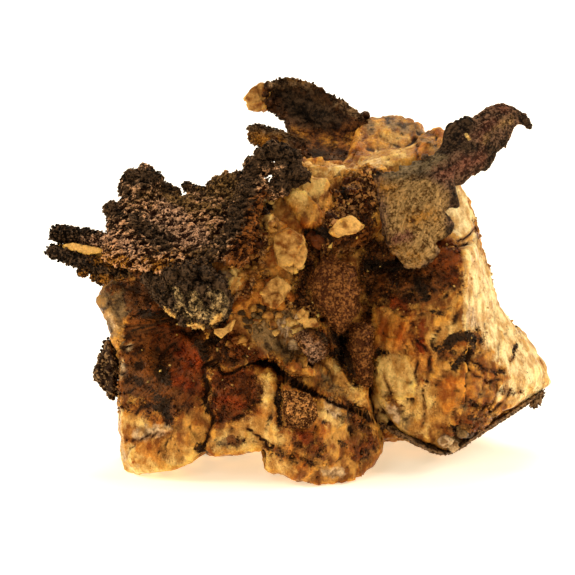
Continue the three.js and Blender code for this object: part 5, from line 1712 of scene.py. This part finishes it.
class SPECIMEN_OT_middle_leaves(bpy.types.Operator):
    """Makes the brown leaves on the front of the lump"""

    bl_idname = "specimen.middle_leaves"
    bl_label = "Middle leaves"

    def execute(self, context):
        looks = context.scene.specimen_silver
        step = looks.leaf_step / METRES
        layers = [
            silver_shades(looks, "glint", 0.14, 0.8, 0.6, 0.9, 0.3, 0.5, 0.08),
            silver_shades(looks, "copper", 0.12, 0.6, 0.6, 0.8, 0.4, 0.5, 0.13),
            silver_shades(looks, "black", 0.5, 0.3, 0.4, 0.5),
        ]
        ground = silver_shades(looks, "brown", 0.4, grainy=0.15, sandy=0.50, lean=0.08)
        material = silver_material("middle_leaf", looks, ground, layers)
        for name, node, thickness, bite, seed in (
            ("centre", "silver_leaf_centre", 1.3, 1.0, 271),
            ("lower", "silver_leaf_lower", 1.1, 0.7, 281),
            ("purple shard", "silver_shard_purple", 1.0, 0.5, 291),
            ("front patch", "silver_patch_front", 1.0, 0.4, 301),
        ):
            shell, rim = crusted_leaf(name, thickness, step, bite, (0.5, 0.25), 0.12, seed)
            shell = with_crumbs(shell, 1600, (0.08, 0.26), 1.8, seed + 5, rim)
            make_silver(
                node + "_leaf", shell, LEAF_MARKS, LEAF_MARKS, material, node, "silver_brown_leaf"
            )
        return {"FINISHED"}


class SPECIMEN_OT_under_sheet(bpy.types.Operator):
    """Makes the thin dark sheet under the lump's right side"""

    bl_idname = "specimen.under_sheet"
    bl_label = "Sheet under the lump"

    def execute(self, context):
        looks = context.scene.specimen_silver
        step = looks.leaf_step / METRES * 1.3
        shell, _ = crusted_leaf("under sheet", 0.45, step, 0.3, FINE_SIZES, 0.10, 311)
        shell = joined([shell, round_lumps(SHEET_LUMPS, 8, FINE_SIZES, 0.15, 315)])
        shell = with_crumbs(shell, 2400, (0.08, 0.22), 1.6, 317)
        material = silver_material("under_sheet", looks, silver_shades(looks, "dust", 0.5), [])
        make_silver(
            "silver_under_sheet", shell, {}, (), material, "silver_sheet_underside", "silver_black_crust"
        )
        return {"FINISHED"}


CALCITE_GRAINS = (
    # node, how bright it is, how much brighter its bottom is than its top
    ("calcite_tip_back", 0.1, 0.0),
    ("calcite_chip_centre", 0.3, -0.6),
    ("calcite_crystal_upper", 0.15, 0.8),
    ("calcite_crystal_lower", 0.0, -0.8),
    ("calcite_beads", 0.1, 0.0),
    ("calcite_shard_nodule", 0.6, 0.0),
)
# Brown bands across the crystals.
CRYSTAL_BANDS = [
    (0.2, -2.2, 24.4, -0.8, 23.9, 0.8, 24), (0.14, -1.8, 23.4, -0.2, 23.2), (0.3, -2.4, 22.4, -2.6, 24.2),
    (0.16, -3.2, 38.6, -4, 38.2), (0.2, -3, 40, -3.4, 39.2),
]


class SPECIMEN_OT_calcite_grains(bpy.types.Operator):
    """Makes the clear grains and crystals of calcite that stand on the lump and the silver"""

    bl_idname = "specimen.calcite_grains"
    bl_label = "Calcite grains"

    def execute(self, context):
        looks = context.scene.specimen_stone
        clear = Layer(looks, "clear", 1.0, grainy=0.36, sandy=0.06, blur=0.28, rough=0.55)
        material = stone_material("bright_calcite", looks, False, clear)
        for seed, (node, brightness, fade) in enumerate(CALCITE_GRAINS):
            points, quads = skin_of(node, 24, 0.2, 1)
            normals = normals_of(points, quads)
            lift = fractal(points, 0.6, 321 + seed)
            shape = facets(points, 1.9, 331 + seed) * 0.38 + lift * 0.05 - 0.1
            points = points + normals * shape[:, None]
            band = smooth_step(-0.3, 0.3, stain_depth(sighted(points), CRYSTAL_BANDS))
            height = np.interp(points[:, 2], (points[:, 2].min(), points[:, 2].max()), (0.5, -0.5))
            tone = lift + brightness + fade * height - 0.6 * band
            floats = {"lift": tone, "hollow": hollowness(points, quads, 6)}
            make_piece(node + "_grain", points, quads, floats, material, node, "calcite_crystal")
        return {"FINISHED"}


class SPECIMEN_OT_stage(bpy.types.Operator):
    """Sets the floor, the lights and the camera"""

    bl_idname = "specimen.stage"
    bl_label = "Floor, lights and camera"

    def execute(self, context):
        looks = context.scene.specimen_stage
        make_floor(looks)
        make_lights()
        make_camera(looks)
        context.scene.view_settings.view_transform = "Standard"
        return {"FINISHED"}


def make_floor(looks):
    """A square of pale floor at the height of the table. It gives back a little light of its own, as a
    lit table does."""
    half = 1.5  # metres
    mesh = bpy.data.meshes.new("floor")
    corners = [(-half, -half, 0.0), (half, -half, 0.0), (half, half, 0.0), (-half, half, 0.0)]
    mesh.from_pydata(corners, [], [(0, 1, 2, 3)])
    material = bpy.data.materials.new("pale_floor")
    material.use_nodes = True
    shader = material.node_tree.nodes["Principled BSDF"]
    settings = {
        "Base Color": tuple(looks.floor), "Roughness": 0.8, "Specular IOR Level": 0.1,
        "Emission Color": tuple(looks.glow), "Emission Strength": 0.81,
    }
    for label, value in settings.items():
        shader.inputs[label].default_value = value
    mesh.materials.append(material)
    floor = shown("floor", mesh)


LIGHTS = [
    # name, place in metres, side in metres, power in watts
    ("left", (-0.40, -0.06, 0.24), 0.22, 1.4),
    ("right", (0.40, -0.02, 0.26), 0.22, 1.6),
    ("behind", (0.05, 0.30, 0.42), 0.30, 1.6),
    ("front", (-0.16, -0.55, 0.36), 0.25, 1.05),
]


def make_lights():
    """Four soft squares of light, turned to the specimen's middle, and an even pale sky."""
    target = np.array([0.0, 0.0, 0.015])
    for name, place, side, power in LIGHTS:
        light = bpy.data.lights.new(name, "AREA")
        light.size = side
        light.color = (1.0, 0.93, 0.83)
        light.energy = power
        lamp = shown(name, light)
        lamp.location = place
        away = np.array(place) - target
        pitch = math.atan2(math.hypot(away[0], away[1]), away[2])
        lamp.rotation_euler = (pitch, 0.0, math.atan2(away[0], -away[1]))
    world = bpy.data.worlds.new("studio")
    world.use_nodes = True
    sky = world.node_tree.nodes["Background"]
    sky.inputs["Color"].default_value = (1.0, 1.0, 1.0, 1.0)
    sky.inputs["Strength"].default_value = 0.20
    bpy.context.scene.world = world


def make_camera(looks):
    """The camera stands at EYE and looks along the display face's own depth."""
    camera = bpy.data.cameras.new("camera")
    camera.lens = looks.lens
    distance = -EYE[1] * METRES
    camera.sensor_width = looks.field * looks.lens / distance
    camera.clip_start = 0.01
    seat = shown("camera", camera)
    seat.location = stand(EYE) * METRES
    seat.rotation_euler = (math.pi / 2 - LEAN, 0.0, 0.0)
    bpy.context.scene.camera = seat


class SPECIMEN_PT_panel(bpy.types.Panel):
    """Lists the pieces in the order in which they are made"""

    bl_idname = "SPECIMEN_PT_panel"
    bl_label = "Kongsbergite specimen"
    bl_space_type = "VIEW_3D"
    bl_region_type = "UI"
    bl_category = "Specimen"

    def draw(self, context):
        for operator in OPERATORS:
            self.layout.operator(operator.bl_idname)
        scene = context.scene
        for group in (scene.specimen_stone, scene.specimen_silver, scene.specimen_stage):
            box = self.layout.box()
            for name in group.__annotations__:
                box.prop(group, name)


OPERATORS = (
    SPECIMEN_OT_lump,
    SPECIMEN_OT_left_crust,
    SPECIMEN_OT_black_lumps,
    SPECIMEN_OT_fold,
    SPECIMEN_OT_wing,
    SPECIMEN_OT_back_leaves,
    SPECIMEN_OT_middle_leaves,
    SPECIMEN_OT_under_sheet,
    SPECIMEN_OT_calcite_grains,
    SPECIMEN_OT_stage,
)
CLASSES = (StoneLooks, SilverLooks, StageLooks, *OPERATORS, SPECIMEN_PT_panel)


def register():
    """Registers the classes and puts their settings on the scene."""
    for each in CLASSES:
        bpy.utils.register_class(each)
    bpy.types.Scene.specimen_stone = bpy.props.PointerProperty(type=StoneLooks)
    bpy.types.Scene.specimen_silver = bpy.props.PointerProperty(type=SilverLooks)
    bpy.types.Scene.specimen_stage = bpy.props.PointerProperty(type=StageLooks)


def unregister():
    """Takes the settings and the classes away again."""
    del bpy.types.Scene.specimen_stage
    del bpy.types.Scene.specimen_silver
    del bpy.types.Scene.specimen_stone
    for each in reversed(CLASSES):
        bpy.utils.unregister_class(each)


def main():
    """Registers the add-on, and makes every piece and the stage."""
    register()
    for operator in OPERATORS:
        group, name = operator.bl_idname.split(".")
        getattr(getattr(bpy.ops, group), name)()


if __name__ == "__main__":
    main()
